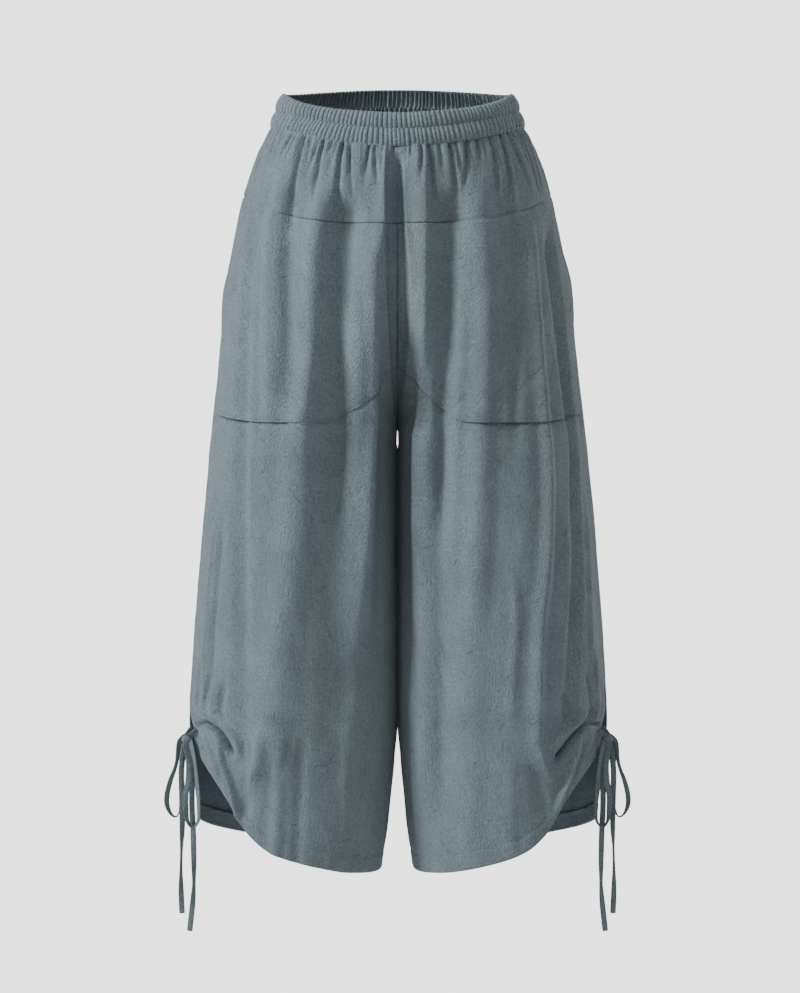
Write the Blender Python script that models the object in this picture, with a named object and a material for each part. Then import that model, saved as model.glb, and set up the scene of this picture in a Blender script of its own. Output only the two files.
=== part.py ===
"""Culottes with a gathered elastic waist, hip pockets and side vents drawn up by tied strings.

The garment is filled out as it hangs, with no wearer. Units are metres, +Z is up and the front
faces -Y. The origin is the centre of the waist, where the waistband sits around a body.

Every panel lies on one cloth surface. A place on it has two numbers:
  level   how far up (+) or down (-) the cloth it is, in millimetres from the middle of the band
  around  how far round a quarter of the garment it is, 0 at the centre or inseam, 1 at the side
Below the crotch each leg is an oval tube. Above it the two ovals overlap and are cut at x = 0.
"""

import math
from collections import namedtuple

import bmesh
import bpy
import numpy as np

MM = 0.001

# ---------------------------------------------------------------- cloth and seams, in millimetres
CLOTH_WALL = 1.5
HEM_WALL = 2.6
BAND_WALL = 2.2
POCKET_WALL = 1.2
SEAM_GAP = 0.4
SEAM_CALM = 14.0
SHARP_EDGE = 50.0
CROTCH_LEVEL = -362.0
BAND_HALF_HEIGHT = 19.0
HEM_TURN = 20.0
HEM_STEP = 1.5

# ---------------------------------------------------------------- the outline, in millimetres
# half_width is from the centre to the side. centre_turn is how far round a leg's oval, in degrees
# from its widest point, the centre seam lies: 90 where both legs share one oval, 180 where they
# part. half_gap is half the space between the legs.
Section = namedtuple("Section", "level half_width front_depth back_depth centre_turn half_gap")
SECTIONS = [
    Section(-900, 225.0, 98.0, 100.0, 180.0, 19.0),
    Section(-860, 226.0, 98.0, 100.0, 180.0, 18.0),
    Section(-818, 228.0, 98.0, 100.0, 180.0, 11.5),
    Section(-780, 231.5, 98.0, 100.0, 180.0, 7.5),
    Section(-740, 236.5, 98.0, 100.0, 180.0, 3.5),
    Section(-700, 239.0, 98.0, 100.0, 180.0, 1.5),
    Section(-658, 237.0, 98.0, 100.0, 180.0, 1.0),
    Section(-567, 230.5, 98.0, 101.0, 180.0, 1.0),
    Section(-476, 223.5, 99.0, 103.0, 180.0, 1.0),
    Section(-408, 217.0, 100.0, 106.0, 180.0, 1.6),
    Section(-380, 214.5, 100.5, 108.5, 180.0, 2.4),
    Section(-362, 212.5, 101.0, 110.0, 180.0, 0.4),
    Section(-340, 210.5, 101.5, 112.0, 168.5, 0.4),
    Section(-316, 208.0, 102.0, 114.5, 156.0, 0.4),
    Section(-271, 202.5, 103.0, 117.5, 136.0, 0.4),
    Section(-226, 197.5, 103.0, 119.0, 120.5, 0.4),
    Section(-180, 191.5, 102.0, 118.0, 108.0, 0.4),
    Section(-130, 182.5, 99.0, 113.0, 98.5, 0.4),
    Section(-98, 175.5, 96.5, 107.5, 94.5, 0.4),
    Section(-66, 165.5, 93.0, 100.0, 92.0, 0.4),
    Section(-40, 155.0, 90.0, 94.0, 90.8, 0.4),
    Section(-19, 144.5, 87.0, 89.5, 90.0, 0.4),
    Section(0, 138.5, 85.0, 86.5, 90.0, 0.4),
    Section(19, 131.5, 82.0, 83.0, 90.0, 0.4),
]

# Height of the level lines above the side: the back rises and the front dips, less so lower down.
FRONT_DIP = 24.0
BACK_RISE = 11.0
Fade = namedtuple("Fade", "level share")
TILT_FADE = [Fade(-400, 0.0), Fade(-200, 0.2), Fade(-118, 0.5), Fade(-40, 1.0), Fade(19, 1.0)]

# Degrees from the widest point of the oval forward to the side seam, and to the pocket mouth.
SideLine = namedtuple("SideLine", "level front_edge back_edge mouth")
SIDE_LINES = [
    SideLine(-900, 22.0, -4.0, 26.0),
    SideLine(-720, 22.0, -3.0, 26.0),
    SideLine(-697, 20.0, -2.0, 24.0),
    SideLine(-668, 3.4, 2.4, 8.0),
    SideLine(-640, 4.4, 4.4, 8.5),
    SideLine(-600, 6.0, 6.0, 10.0),
    SideLine(-500, 11.0, 11.0, 14.0),
    SideLine(-400, 15.0, 15.0, 17.5),
    SideLine(-340, 17.0, 17.0, 19.0),
    SideLine(-270, 9.0, 9.0, 11.0),
    SideLine(-200, 5.0, 5.0, 7.5),
    SideLine(-165, 4.0, 4.0, 10.0),
    SideLine(-147, 4.0, 4.0, 15.0),
    SideLine(-128, 4.0, 4.0, 19.0),
    SideLine(-98, 4.0, 4.0, 21.0),
    SideLine(19, 0.0, 0.0, 21.0),
]

# Levels of the seams and hems, from the centre or inseam (around 0) to the side (around 1).
Line = namedtuple("Line", "around level")
YOKE_SEAM = [Line(0.0, -118), Line(0.3, -117), Line(0.5, -113), Line(0.75, -104), Line(1.0, -95)]
POCKET_FOOT = [Line(0.0, -286), Line(0.13, -303), Line(0.2, -317), Line(0.33, -338),
               Line(0.45, -350), Line(0.7, -350), Line(1.0, -341)]
FRONT_HEM = [Line(0.0, -857), Line(0.12, -860), Line(0.3, -858), Line(0.45, -850),
             Line(0.64, -833), Line(0.735, -812), Line(0.8, -783), Line(0.87, -756),
             Line(0.93, -738), Line(0.985, -722), Line(1.0, -716)]
BACK_HEM = [Line(0.0, -857), Line(0.25, -854), Line(0.5, -845), Line(0.75, -828), Line(1.0, -806)]

# Soft folds, + a ridge and - a hollow, each placed by its distance x out from the centre. They
# fade in and out along their length, and fade out within SEAM_CALM of the side seam.
Fold = namedtuple("Fold", "top_level foot_level top_x foot_x half_width height")
FOLDS = {
    ("front", "left"): [
        Fold(20, -700, 47, 67, 34.0, -16.0),
        Fold(-60, -400, 95, 95, 20.0, 8.0),
        Fold(20, -330, 119, 122, 14.0, -6.0),
        Fold(-90, -830, 136, 144, 26.0, 8.0),
        Fold(-140, -790, 167, 173, 18.0, -8.0),
        Fold(-60, -560, 21, 21, 14.0, 6.0),
        Fold(-480, -760, 203, 208, 12.0, 3.0),
    ],
    ("front", "right"): [
        Fold(0, -760, 66, 53, 24.0, -15.0),
        Fold(-40, -330, 28, 34, 14.0, 5.0),
        Fold(-60, -560, 104, 88, 24.0, 7.0),
        Fold(20, -330, 126, 134, 14.0, -5.0),
        Fold(-150, -790, 161, 164, 18.0, 5.5),
        Fold(-180, -720, 180, 194, 14.0, -6.0),
        Fold(-560, -860, 104, 100, 24.0, 3.0),
    ],
    ("back", "left"): [
        Fold(20, -700, 70, 78, 32.0, -13.0),
        Fold(-60, -800, 118, 124, 26.0, 7.0),
        Fold(-150, -800, 166, 173, 18.0, -7.0),
        Fold(20, -300, 26, 30, 14.0, -6.0),
        Fold(20, -260, 108, 118, 13.0, -5.0),
        Fold(-400, -860, 34, 36, 18.0, 4.0),
    ],
    ("back", "right"): [
        Fold(20, -640, 48, 56, 28.0, -12.0),
        Fold(-80, -840, 94, 98, 26.0, 7.0),
        Fold(-200, -880, 140, 134, 24.0, -8.0),
        Fold(-200, -780, 174, 179, 16.0, 5.0),
        Fold(20, -280, 98, 106, 14.0, -6.0),
    ],
}
# The hollow where the drawn-up corner of each front panel tucks under the cloth above it.
TUCK = Fold(-650, -750, 237, 188, 11.0, -6.0)

# Small gathers under the band and the ruffles of the band itself.
GATHERS_PER_QUARTER = 15
GATHER_HEIGHT = 1.5
GATHER_FOOT_LEVEL = -100.0
RUFFLES_PER_HALF = 60
RUFFLE_HEIGHT = 1.3
BandRow = namedtuple("BandRow", "level share bulge")
BAND_ROWS = [
    BandRow(BAND_HALF_HEIGHT, 0.6, 0.0),
    BandRow(9.5, 1.0, 1.8),
    BandRow(0.0, 0.3, 0.0),
    BandRow(-9.5, -1.0, 1.8),
    BandRow(-BAND_HALF_HEIGHT, -0.6, 0.0),
]

# The pocket mouth stands a little away from the hip.
MOUTH_TOP = -150.0
MOUTH_FOOT = -262.0
HIP_BULGE = 1.4
MOUTH_GAPE = 1.8

# How each panel is divided: rows in each stretch down the cloth, columns round it.
POCKET_ROWS = [0.0, 0.15, 0.3, 0.45, 0.6, 0.75, 0.88, 1.0]
RISE_ROWS = [0.4, 0.75, 1.0]
LEG_ROWS = [row / 9 for row in range(1, 10)]
HEM_ROWS = [0.0, 1.0]
PANEL_COLUMNS = 17
YOKE_ROWS = 4

# ---------------------------------------------------------------- the strings, in millimetres
# x is the distance out from the centre, on either side of the garment.
STRING_RADIUS = 1.8
STRING_SPACING = 11.0
STRING_SIDES = 2
KNOT_CENTRE = (237.5, -37.5, -711.0)
KNOT_SIZE = (9.0, 8.0, 9.0)
KNOT_ROUNDING = 2.4
STRING_ROUTES = {
    "tie_lead_upper": [(231.5, -40.0, -696.0), (234.5, -39.6, -700.0), (238.8, -38.0, -703.6)],
    "tie_lead_lower": [(226.8, -45.6, -699.6), (229.5, -44.0, -701.6), (233.6, -40.4, -703.4)],
    "tie_loop_outer": [
        (244.6, -38.5, -709.0), (247.4, -38.0, -715.0), (249.7, -37.5, -734.5),
        (252.9, -37.0, -746.3), (256.8, -36.5, -756.5), (260.8, -36.0, -772.0),
        (261.4, -35.5, -784.0), (257.9, -35.0, -794.0), (252.6, -34.0, -799.0),
        (248.4, -32.8, -796.0), (245.8, -32.0, -780.0), (245.0, -31.6, -752.0),
        (245.0, -31.6, -730.0), (245.0, -32.4, -718.0), (244.6, -33.6, -712.0),
    ],
    "tie_loop_inner": [
        (239.2, -44.2, -711.0), (238.0, -46.2, -720.0), (235.2, -47.0, -736.0),
        (235.6, -47.0, -756.5), (238.2, -46.5, -772.0), (239.1, -46.0, -787.0),
        (237.6, -45.5, -802.0), (232.0, -45.5, -810.3), (226.5, -45.5, -805.0),
        (224.6, -46.0, -797.0), (224.9, -47.0, -776.8), (226.5, -48.5, -756.5),
        (228.6, -50.0, -736.0), (231.6, -48.5, -721.0), (234.6, -44.2, -711.0),
    ],
    "tie_tail_outer": [
        (240.2, -38.6, -716.4), (242.2, -38.8, -724.0), (244.6, -38.6, -746.0),
        (245.2, -38.4, -777.0), (244.7, -38.2, -807.0), (244.7, -38.0, -833.0),
        (245.4, -38.0, -862.0), (245.2, -38.0, -886.0), (244.2, -38.0, -908.5),
    ],
    "tie_tail_inner": [
        (235.2, -37.6, -716.8), (233.0, -40.2, -727.0), (232.0, -41.0, -756.5),
        (231.0, -40.5, -787.0), (231.4, -40.0, -813.6), (230.8, -40.0, -841.0),
        (230.6, -40.0, -860.5), (231.5, -40.0, -886.0), (233.1, -40.0, -906.5),
        (235.6, -40.0, -928.4),
    ],
}

# ---------------------------------------------------------------- colours of the crinkled cotton
CLOTH_COLOUR = (0.165, 0.222, 0.245)
POCKET_COLOUR = (0.172, 0.231, 0.254)
BAND_COLOUR = (0.155, 0.209, 0.231)
STRING_COLOUR = (0.140, 0.192, 0.210)
CLOTH_ROUGHNESS = 0.9

SIDES = {"left": -1.0, "right": 1.0}


def remove_everything():
    """Start from an empty file."""
    for thing in list(bpy.data.objects):
        bpy.data.objects.remove(thing, do_unlink=True)


# ---------------------------------------------------------------- smooth values from tables
def smooth_curve(places, values, at):
    """Cubic curve through the points (places, values), rising places, that never overshoots."""
    places = np.asarray(places, dtype=float)
    values = np.asarray(values, dtype=float)
    at = np.clip(at, places[0], places[-1])
    steps = np.diff(places)
    slopes = np.diff(values) / steps
    turns = np.zeros(len(places))
    same_way = slopes[:-1] * slopes[1:] > 0
    mean = 2 * slopes[:-1] * slopes[1:] / np.where(same_way, slopes[:-1] + slopes[1:], 1.0)
    turns[1:-1] = np.where(same_way, mean, 0.0)
    turns[0] = slopes[0]
    turns[-1] = slopes[-1]
    first = np.clip(np.searchsorted(places, at, side="right") - 1, 0, len(steps) - 1)
    step = steps[first]
    t = (at - places[first]) / step
    return (values[first] * (1 + 2 * t) * (1 - t) ** 2
            + values[first + 1] * t ** 2 * (3 - 2 * t)
            + step * turns[first] * t * (1 - t) ** 2
            - step * turns[first + 1] * t ** 2 * (1 - t))


def look_up(table, column, at):
    """Value of a table's named column at a place along its first column."""
    return smooth_curve([row[0] for row in table], [getattr(row, column) for row in table], at)


def ease(t):
    """Soft step from 0 to 1."""
    t = np.clip(t, 0.0, 1.0)
    return t * t * (3 - 2 * t)


# ---------------------------------------------------------------- the cloth surface
def centre_turn(level):
    """Angle from the widest point to the centre seam, or to the inseam below the crotch."""
    return np.radians(look_up(SECTIONS, "centre_turn", level))


def leg_oval(level):
    """Centre and half-width of a leg's oval at each level."""
    half_width = look_up(SECTIONS, "half_width", level)
    half_gap = look_up(SECTIONS, "half_gap", level)
    joined_half = half_width / (1 - np.cos(centre_turn(level)))
    parted_half = (half_width - half_gap) / 2
    half = np.where(level > CROTCH_LEVEL, joined_half, parted_half)
    return half_width - half, half


def side_turn(level, quarter):
    """Angle of the quarter's side edge, in radians forward of the oval's widest point."""
    return np.radians(look_up(SIDE_LINES, f"{quarter}_edge", level))


def turn_at(level, around, quarter):
    """Angle of a place round the oval, forward of its widest point."""
    facing = {"front": 1.0, "back": -1.0}[quarter]
    half_seam = facing * SEAM_GAP / 2 / look_up(SECTIONS, "front_depth", level)
    side = side_turn(level, quarter) + half_seam
    centre = facing * centre_turn(level) - half_seam
    return centre + (side - centre) * around


def around_at(x, level, quarter):
    """How far round a quarter a place lies, from its distance x out from the centre."""
    centre, half = leg_oval(level)
    turn = np.arccos(np.clip((x - centre) / half, -1.0, 1.0))
    if quarter == "back":
        turn = -turn
    start = turn_at(level, 0.0, quarter)
    return (start - turn) / (start - turn_at(level, 1.0, quarter))


def fold_height(fold, level, around, quarter, arc):
    """Height of one soft fold at a place, where arc is the quarter's length round the body."""
    along = (fold.top_level - level) / (fold.top_level - fold.foot_level)
    strength = ease(3 * along) * ease(3 * (1 - along))
    x = fold.top_x + (fold.foot_x - fold.top_x) * np.clip(along, 0.0, 1.0)
    off = np.abs(around - around_at(x, level, quarter)) * arc
    across = np.clip(off / fold.half_width, 0.0, 1.0)
    return fold.height * strength * (1 + np.cos(math.pi * across)) / 2


def relief(level, around, quarter, side, arc):
    """How far folds, gathers and the hip pocket lift the cloth out of the plain oval."""
    lift = np.zeros_like(level)
    for fold in FOLDS[quarter, side]:
        lift += fold_height(fold, level, around, quarter, arc)
    lift *= ease((1 - around) * arc / SEAM_CALM)
    lift += HIP_BULGE * mouth_lift(level, around)
    if quarter == "front":
        lift += fold_height(TUCK, level, around, quarter, arc)
    fade = ease((level - GATHER_FOOT_LEVEL) / (-BAND_HALF_HEIGHT - GATHER_FOOT_LEVEL))
    wave = np.cos(2 * math.pi * GATHERS_PER_QUARTER * around)
    return lift + GATHER_HEIGHT * fade * wave


def mouth_lift(level, around):
    """Share of lift near the pocket mouth, 1 where it stands furthest from the hip."""
    down = np.clip((MOUTH_TOP - level) / (MOUTH_TOP - MOUTH_FOOT), 0.0, 1.0)
    return np.sin(math.pi * down) ** 2 * ease((around - 0.8) / 0.17)


def depth_at(level, turn):
    """Depth of the oval, which is fuller behind its widest point than in front of it."""
    front_depth = look_up(SECTIONS, "front_depth", level)
    back_depth = look_up(SECTIONS, "back_depth", level)
    return np.where(turn > 0, front_depth, back_depth)


def tilt_at(level, turn):
    """How far the level lines rise at the back or dip at the front."""
    lean = np.sin(turn)
    tilt = np.where(lean > 0, -FRONT_DIP * lean ** 2, BACK_RISE * lean ** 2)
    return tilt * look_up(TILT_FADE, "share", level)


def surface_points(level, around, quarter, side, lift=0.0):
    """Points of the outer face of the cloth, in millimetres, for arrays of level and around."""
    centre, half = leg_oval(level)
    turn = turn_at(level, around, quarter)
    depth = depth_at(level, turn)
    arc = np.abs(centre_turn(level)) * (half + depth) / 2
    out_x = np.cos(turn) / half
    out_y = -np.sin(turn) / depth
    length = np.hypot(out_x, out_y)
    raised = relief(level, around, quarter, side, arc) + lift
    x = np.maximum(centre + half * np.cos(turn) + raised * out_x / length, SEAM_GAP / 2)
    y = -depth * np.sin(turn) + raised * out_y / length
    return np.stack([SIDES[side] * x, y, level + tilt_at(level, turn)], axis=-1)


# ---------------------------------------------------------------- walls, tubes and materials
def add_material(thing, colour):
    """Give an object a matt cloth material of its own."""
    material = bpy.data.materials.new(thing.name)
    material.use_nodes = True
    shader = material.node_tree.nodes["Principled BSDF"]
    shader.inputs["Base Color"].default_value = (*colour, 1.0)
    shader.inputs["Roughness"].default_value = CLOTH_ROUGHNESS
    shader.inputs["Metallic"].default_value = 0.0
    material.diffuse_color = (*colour, 1.0)
    thing.data.materials.append(material)


def add_object(name, data, colour):
    """Put a mesh or a curve into the scene with its own material."""
    thing = bpy.data.objects.new(name, data)
    bpy.context.scene.collection.objects.link(thing)
    add_material(thing, colour)
    return thing


def add_grid(mesh, points, facing_out):
    """Add an open grid of faces through the points, a row for each level from the top."""
    rows, columns = points.shape[:2]
    made = bmesh.ops.create_grid(mesh, x_segments=columns - 1, y_segments=rows - 1, size=0.5)
    for index, vert in enumerate(made["verts"]):
        vert.co = points[index // columns, index % columns] * MM
    faces = list({face for vert in made["verts"] for face in vert.link_faces})
    if not facing_out:
        bmesh.ops.reverse_faces(mesh, faces=faces)
    return faces


def add_wall(name, outer, inner, clockwise, colour):
    """Make a closed wall of cloth between a grid of outer points and one of inner points.

    clockwise says that the columns run clockwise round the body, seen from above.
    """
    mesh = bmesh.new()
    add_grid(mesh, outer, facing_out=not clockwise)
    add_grid(mesh, inner, facing_out=clockwise)
    rim = [edge for edge in mesh.edges if edge.is_boundary]
    bmesh.ops.bridge_loops(mesh, edges=rim)
    bmesh.ops.recalc_face_normals(mesh, faces=mesh.faces)
    data = bpy.data.meshes.new(name)
    mesh.to_mesh(data)
    mesh.free()
    data.shade_smooth()
    data.set_sharp_from_angle(angle=math.radians(SHARP_EDGE))
    return add_object(name, data, colour)


# ---------------------------------------------------------------- sewn pieces
def line_level(line, around):
    """Level of a seam or hem at each place round the body."""
    return look_up(line, "level", around)


def panel_rows(quarter, around):
    """Levels of a panel's points, whose rows run from the yoke seam to the hem."""
    hem_line = {"front": FRONT_HEM, "back": BACK_HEM}[quarter]
    seam = line_level(YOKE_SEAM, around) - SEAM_GAP
    pocket_foot = line_level(POCKET_FOOT, around)
    hem = line_level(hem_line, around)
    turn_top = hem + HEM_TURN + HEM_STEP
    level = np.empty_like(around)
    row = 0
    stretches = [
        (seam, pocket_foot, POCKET_ROWS),
        (pocket_foot, np.full_like(around, CROTCH_LEVEL), RISE_ROWS),
        (np.full_like(around, CROTCH_LEVEL), turn_top, LEG_ROWS),
        (hem + HEM_TURN, hem, HEM_ROWS),
    ]
    for top, foot, shares in stretches:
        for share in shares:
            level[row] = top[row] + (foot[row] - top[row]) * share
            row += 1
    return level


def panel_columns(level, quarter):
    """Places round a panel; on the front the last but one column follows the pocket mouth."""
    if quarter == "back":
        return np.broadcast_to(np.linspace(0.0, 1.0, PANEL_COLUMNS), level.shape)
    mouth = np.radians(look_up(SIDE_LINES, "mouth", level[:, -2]))
    side = side_turn(level[:, -2], quarter)
    reach = centre_turn(level[:, -2])
    mouth_around = (reach - mouth) / (reach - side)
    inner = np.linspace(0.0, 1.0, PANEL_COLUMNS - 1)
    return np.column_stack([mouth_around[:, None] * inner, np.ones(len(level))])


def panel_grid(quarter):
    """Levels and places round of every point of a panel.

    Each depends a little on the other, so both are worked out three times over.
    """
    rows = len(POCKET_ROWS + RISE_ROWS + LEG_ROWS + HEM_ROWS)
    around = np.broadcast_to(np.linspace(0.0, 1.0, PANEL_COLUMNS), (rows, PANEL_COLUMNS))
    for _ in range(3):
        level = panel_rows(quarter, around)
        around = panel_columns(level, quarter)
    return level, around


def is_clockwise(quarter, side):
    """Whether going from a quarter's centre to its side is clockwise, seen from above."""
    return (quarter == "front") == (side == "left")


def make_panel(quarter, side):
    """Cut one front or back panel; its last two rows are the turned hem, which is thicker."""
    level, around = panel_grid(quarter)
    wall = np.full(level.shape, CLOTH_WALL)
    wall[-2:] = HEM_WALL
    outer = surface_points(level, around, quarter, side)
    inner = surface_points(level, around, quarter, side, lift=-wall)
    clockwise = is_clockwise(quarter, side)
    add_wall(f"{quarter}_panel_{side}", outer, inner, clockwise, CLOTH_COLOUR)


def make_yoke(quarter, side):
    """Cut one gathered yoke, with two columns to each gather."""
    around = np.linspace(0.0, 1.0, 2 * GATHERS_PER_QUARTER + 1)
    top = -BAND_HALF_HEIGHT - SEAM_GAP
    drop = line_level(YOKE_SEAM, around) - top
    level = top + drop * np.linspace(0.0, 1.0, YOKE_ROWS + 1)[:, None]
    around = np.broadcast_to(around, level.shape)
    outer = surface_points(level, around, quarter, side)
    inner = surface_points(level, around, quarter, side, lift=-CLOTH_WALL)
    clockwise = is_clockwise(quarter, side)
    add_wall(f"{quarter}_yoke_{side}", outer, inner, clockwise, CLOTH_COLOUR)


def make_pocket(side):
    """Lay a patch pocket on the front panel: the panel's own points, moved out."""
    level, around = panel_grid("front")
    rows = len(POCKET_ROWS)
    level = level[:rows, :-1]
    around = around[:rows, :-1]
    gap = SEAM_GAP + MOUTH_GAPE * mouth_lift(level, around)
    outer = surface_points(level, around, "front", side, lift=gap + POCKET_WALL)
    inner = surface_points(level, around, "front", side, lift=gap)
    add_wall(f"pocket_{side}", outer, inner, is_clockwise("front", side), POCKET_COLOUR)


def band_points(quarter, side, level, lift, around):
    """Points of one quarter of the waistband."""
    centre, half = leg_oval(level)
    turn = turn_at(level, around, quarter)
    depth = depth_at(level, turn)
    x = centre + (half + lift) * np.cos(turn)
    y = -(depth + lift) * np.sin(turn)
    return np.stack([SIDES[side] * x, y, level + tilt_at(level, turn)], axis=-1)


def make_waistband(quarter):
    """Ruffled half of the elastic band: two channels with a stitched line between them."""
    columns = RUFFLES_PER_HALF + 1
    around = np.linspace(1.0, 0.0, columns)
    shape = (len(BAND_ROWS), columns)
    level = np.broadcast_to(np.array([[row.level] for row in BAND_ROWS]), shape)
    wave = np.array([[row.share] for row in BAND_ROWS]) * np.cos(math.pi * np.arange(columns))
    lift = np.array([[row.bulge] for row in BAND_ROWS]) + RUFFLE_HEIGHT * wave
    layers = []
    for wall in (0.0, BAND_WALL):
        left = band_points(quarter, "left", level, lift - wall, around)
        right = band_points(quarter, "right", level, lift - wall, around)
        layers.append(np.concatenate([left, right[:, -2::-1]], axis=1))
    add_wall(f"waistband_{quarter}", *layers, quarter == "back", BAND_COLOUR)


# ---------------------------------------------------------------- ties
def smooth_route(points, spacing):
    """Evenly spaced points on a soft curve through a route's points."""
    route = np.array(points, dtype=float)
    ends = np.concatenate([[2 * route[0] - route[1]], route, [2 * route[-1] - route[-2]]])
    fine = []
    for before, start, end, after in zip(ends, ends[1:], ends[2:], ends[3:]):
        for t in np.linspace(0.0, 1.0, 12, endpoint=False):
            bend = (2 * before - 5 * start + 4 * end - after) * t ** 2
            twist = (3 * start - before - 3 * end + after) * t ** 3
            fine.append(0.5 * (2 * start + (end - before) * t + bend + twist))
    fine = np.array(fine + [route[-1]])
    travelled = np.concatenate([[0.0], np.cumsum(np.linalg.norm(np.diff(fine, axis=0), axis=1))])
    count = max(3, int(round(travelled[-1] / spacing)) + 1)
    stops = np.linspace(0.0, travelled[-1], count)
    return np.stack([np.interp(stops, travelled, fine[:, axis]) for axis in range(3)], axis=-1)


def make_string(name, route, side):
    """Plain tube for one stretch of a tie."""
    points = smooth_route(route, STRING_SPACING) * MM
    points[:, 0] *= SIDES[side]
    curve = bpy.data.curves.new(name, "CURVE")
    curve.dimensions = "3D"
    curve.bevel_depth = STRING_RADIUS * MM
    curve.bevel_resolution = STRING_SIDES
    curve.use_fill_caps = True
    spline = curve.splines.new("POLY")
    spline.points.add(len(points) - 1)
    for target, point in zip(spline.points, points):
        target.co = (*point, 1.0)
    spline.use_smooth = True
    add_object(name, curve, STRING_COLOUR)


def make_knot(side):
    """Rounded block for the knot where both strings cross."""
    name = f"tie_knot_{side}"
    block = bmesh.new()
    bmesh.ops.create_cube(block, size=1.0)
    for vert in block.verts:
        vert.co = [place * size * MM for place, size in zip(vert.co, KNOT_SIZE)]
    bmesh.ops.bevel(block, geom=block.edges[:], offset=KNOT_ROUNDING * MM, affect="EDGES",
                    segments=2, profile=0.5, material=-1)
    mesh = bpy.data.meshes.new(name)
    block.to_mesh(mesh)
    block.free()
    mesh.shade_smooth()
    knot = add_object(name, mesh, STRING_COLOUR)
    x, y, z = KNOT_CENTRE
    knot.location = (SIDES[side] * x * MM, y * MM, z * MM)


def main():
    """Build every piece of the garment."""
    remove_everything()
    for quarter in ("front", "back"):
        make_waistband(quarter)
        for side in SIDES:
            make_yoke(quarter, side)
            make_panel(quarter, side)
    for side in SIDES:
        make_pocket(side)
        make_knot(side)
        for name, route in STRING_ROUTES.items():
            make_string(f"{name}_{side}", route, side)


main()
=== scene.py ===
"""Culottes with a gathered elastic waist, pockets and tied side vents, over their frame.

Every piece of cloth lies on one surface. A place on it has two numbers, the level up or down the
cloth in millimetres from the middle of the band, and the share of the way round a quarter of the
garment, from 0 at the centre or inseam to 1 at the side. Sizes are in millimetres until a mesh is
made, and the front faces -Y.
"""

import logging
import math
from dataclasses import dataclass, field
from enum import Enum
from typing import NamedTuple, Sequence

import bmesh
import bpy
import numpy as np
from mathutils import Matrix, Vector


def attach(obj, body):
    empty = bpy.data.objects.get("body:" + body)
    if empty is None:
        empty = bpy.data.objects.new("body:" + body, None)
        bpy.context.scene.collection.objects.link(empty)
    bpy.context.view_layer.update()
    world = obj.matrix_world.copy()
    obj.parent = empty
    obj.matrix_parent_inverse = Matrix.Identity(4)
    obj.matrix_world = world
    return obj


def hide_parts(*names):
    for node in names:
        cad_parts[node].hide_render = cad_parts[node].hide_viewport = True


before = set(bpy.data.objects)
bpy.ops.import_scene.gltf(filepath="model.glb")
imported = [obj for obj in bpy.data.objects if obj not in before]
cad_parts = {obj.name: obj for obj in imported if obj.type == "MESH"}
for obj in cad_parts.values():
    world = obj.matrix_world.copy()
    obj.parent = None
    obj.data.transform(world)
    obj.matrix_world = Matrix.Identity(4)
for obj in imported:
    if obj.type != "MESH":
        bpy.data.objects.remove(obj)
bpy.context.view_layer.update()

LOG = logging.getLogger("culottes")
MM = 0.001
BODY = "root"
UV_NAME = "cloth"
Array = np.ndarray


class Side(Enum):
    """A side of the garment, as the sign of x there."""

    LEFT = -1
    RIGHT = 1

    @property
    def word(self) -> str:
        """The side's name in the frame's nodes."""
        return self.name.lower()


class Quarter(Enum):
    """Front or back, as the sign of the turn from the widest point."""

    FRONT = 1
    BACK = -1

    @property
    def word(self) -> str:
        """The quarter's name in the frame's nodes."""
        return self.name.lower()


class Slot(Enum):
    """The record's material slots."""

    CLOTH = "cloth"
    POCKET = "pocket_cloth"
    BAND = "band_cloth"
    TIE = "tie_cloth"


# ---------------------------------------------------------------- tables of sizes
# Level where the band meets the yokes.
BAND_FOOT = -19.0
# Share of a quarter beside each seam over which the cloth turns under.
TURN_UNDER = 0.01


class Section(NamedTuple):
    """The outline at one level; centre_turn is in degrees from a leg oval's widest point."""

    level: float
    half_width: float
    front_depth: float
    back_depth: float
    centre_turn: float
    half_gap: float


class SideLine(NamedTuple):
    """Degrees from the widest point forward to the side edges and to the pocket mouth."""

    level: float
    front_edge: float
    back_edge: float
    mouth: float


class Line(NamedTuple):
    """One place on a seam or hem."""

    around: float
    level: float


class Fade(NamedTuple):
    """Share of an effect at a level."""

    level: float
    share: float


class Crease(NamedTuple):
    """A soft ridge (+) or trough (-) along (around, level) places; lean steepens one flank."""

    half_width: float
    height: float
    lean: float
    places: tuple[tuple[float, float], ...]


class Fold(NamedTuple):
    """A long ridge (+) or trough (-) down the cloth, through (x from the centre, level) places.

    lean above 0 steepens its outer flank, and below 0 its inner one.
    """

    half_width: float
    height: float
    lean: float
    places: tuple[tuple[float, float], ...]


class Hills(NamedTuple):
    """Usual width, length and height of soft random hills in the cloth."""

    width: float
    length: float
    height: float


class FoldPlace(NamedTuple):
    """One place on a long fold."""

    level: float
    x: float


class RoutePoint(NamedTuple):
    """A place on a tie, with x out from the centre; face 0 shows its flat side, 90 its edge."""

    x: float
    y: float
    z: float
    face: float


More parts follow.
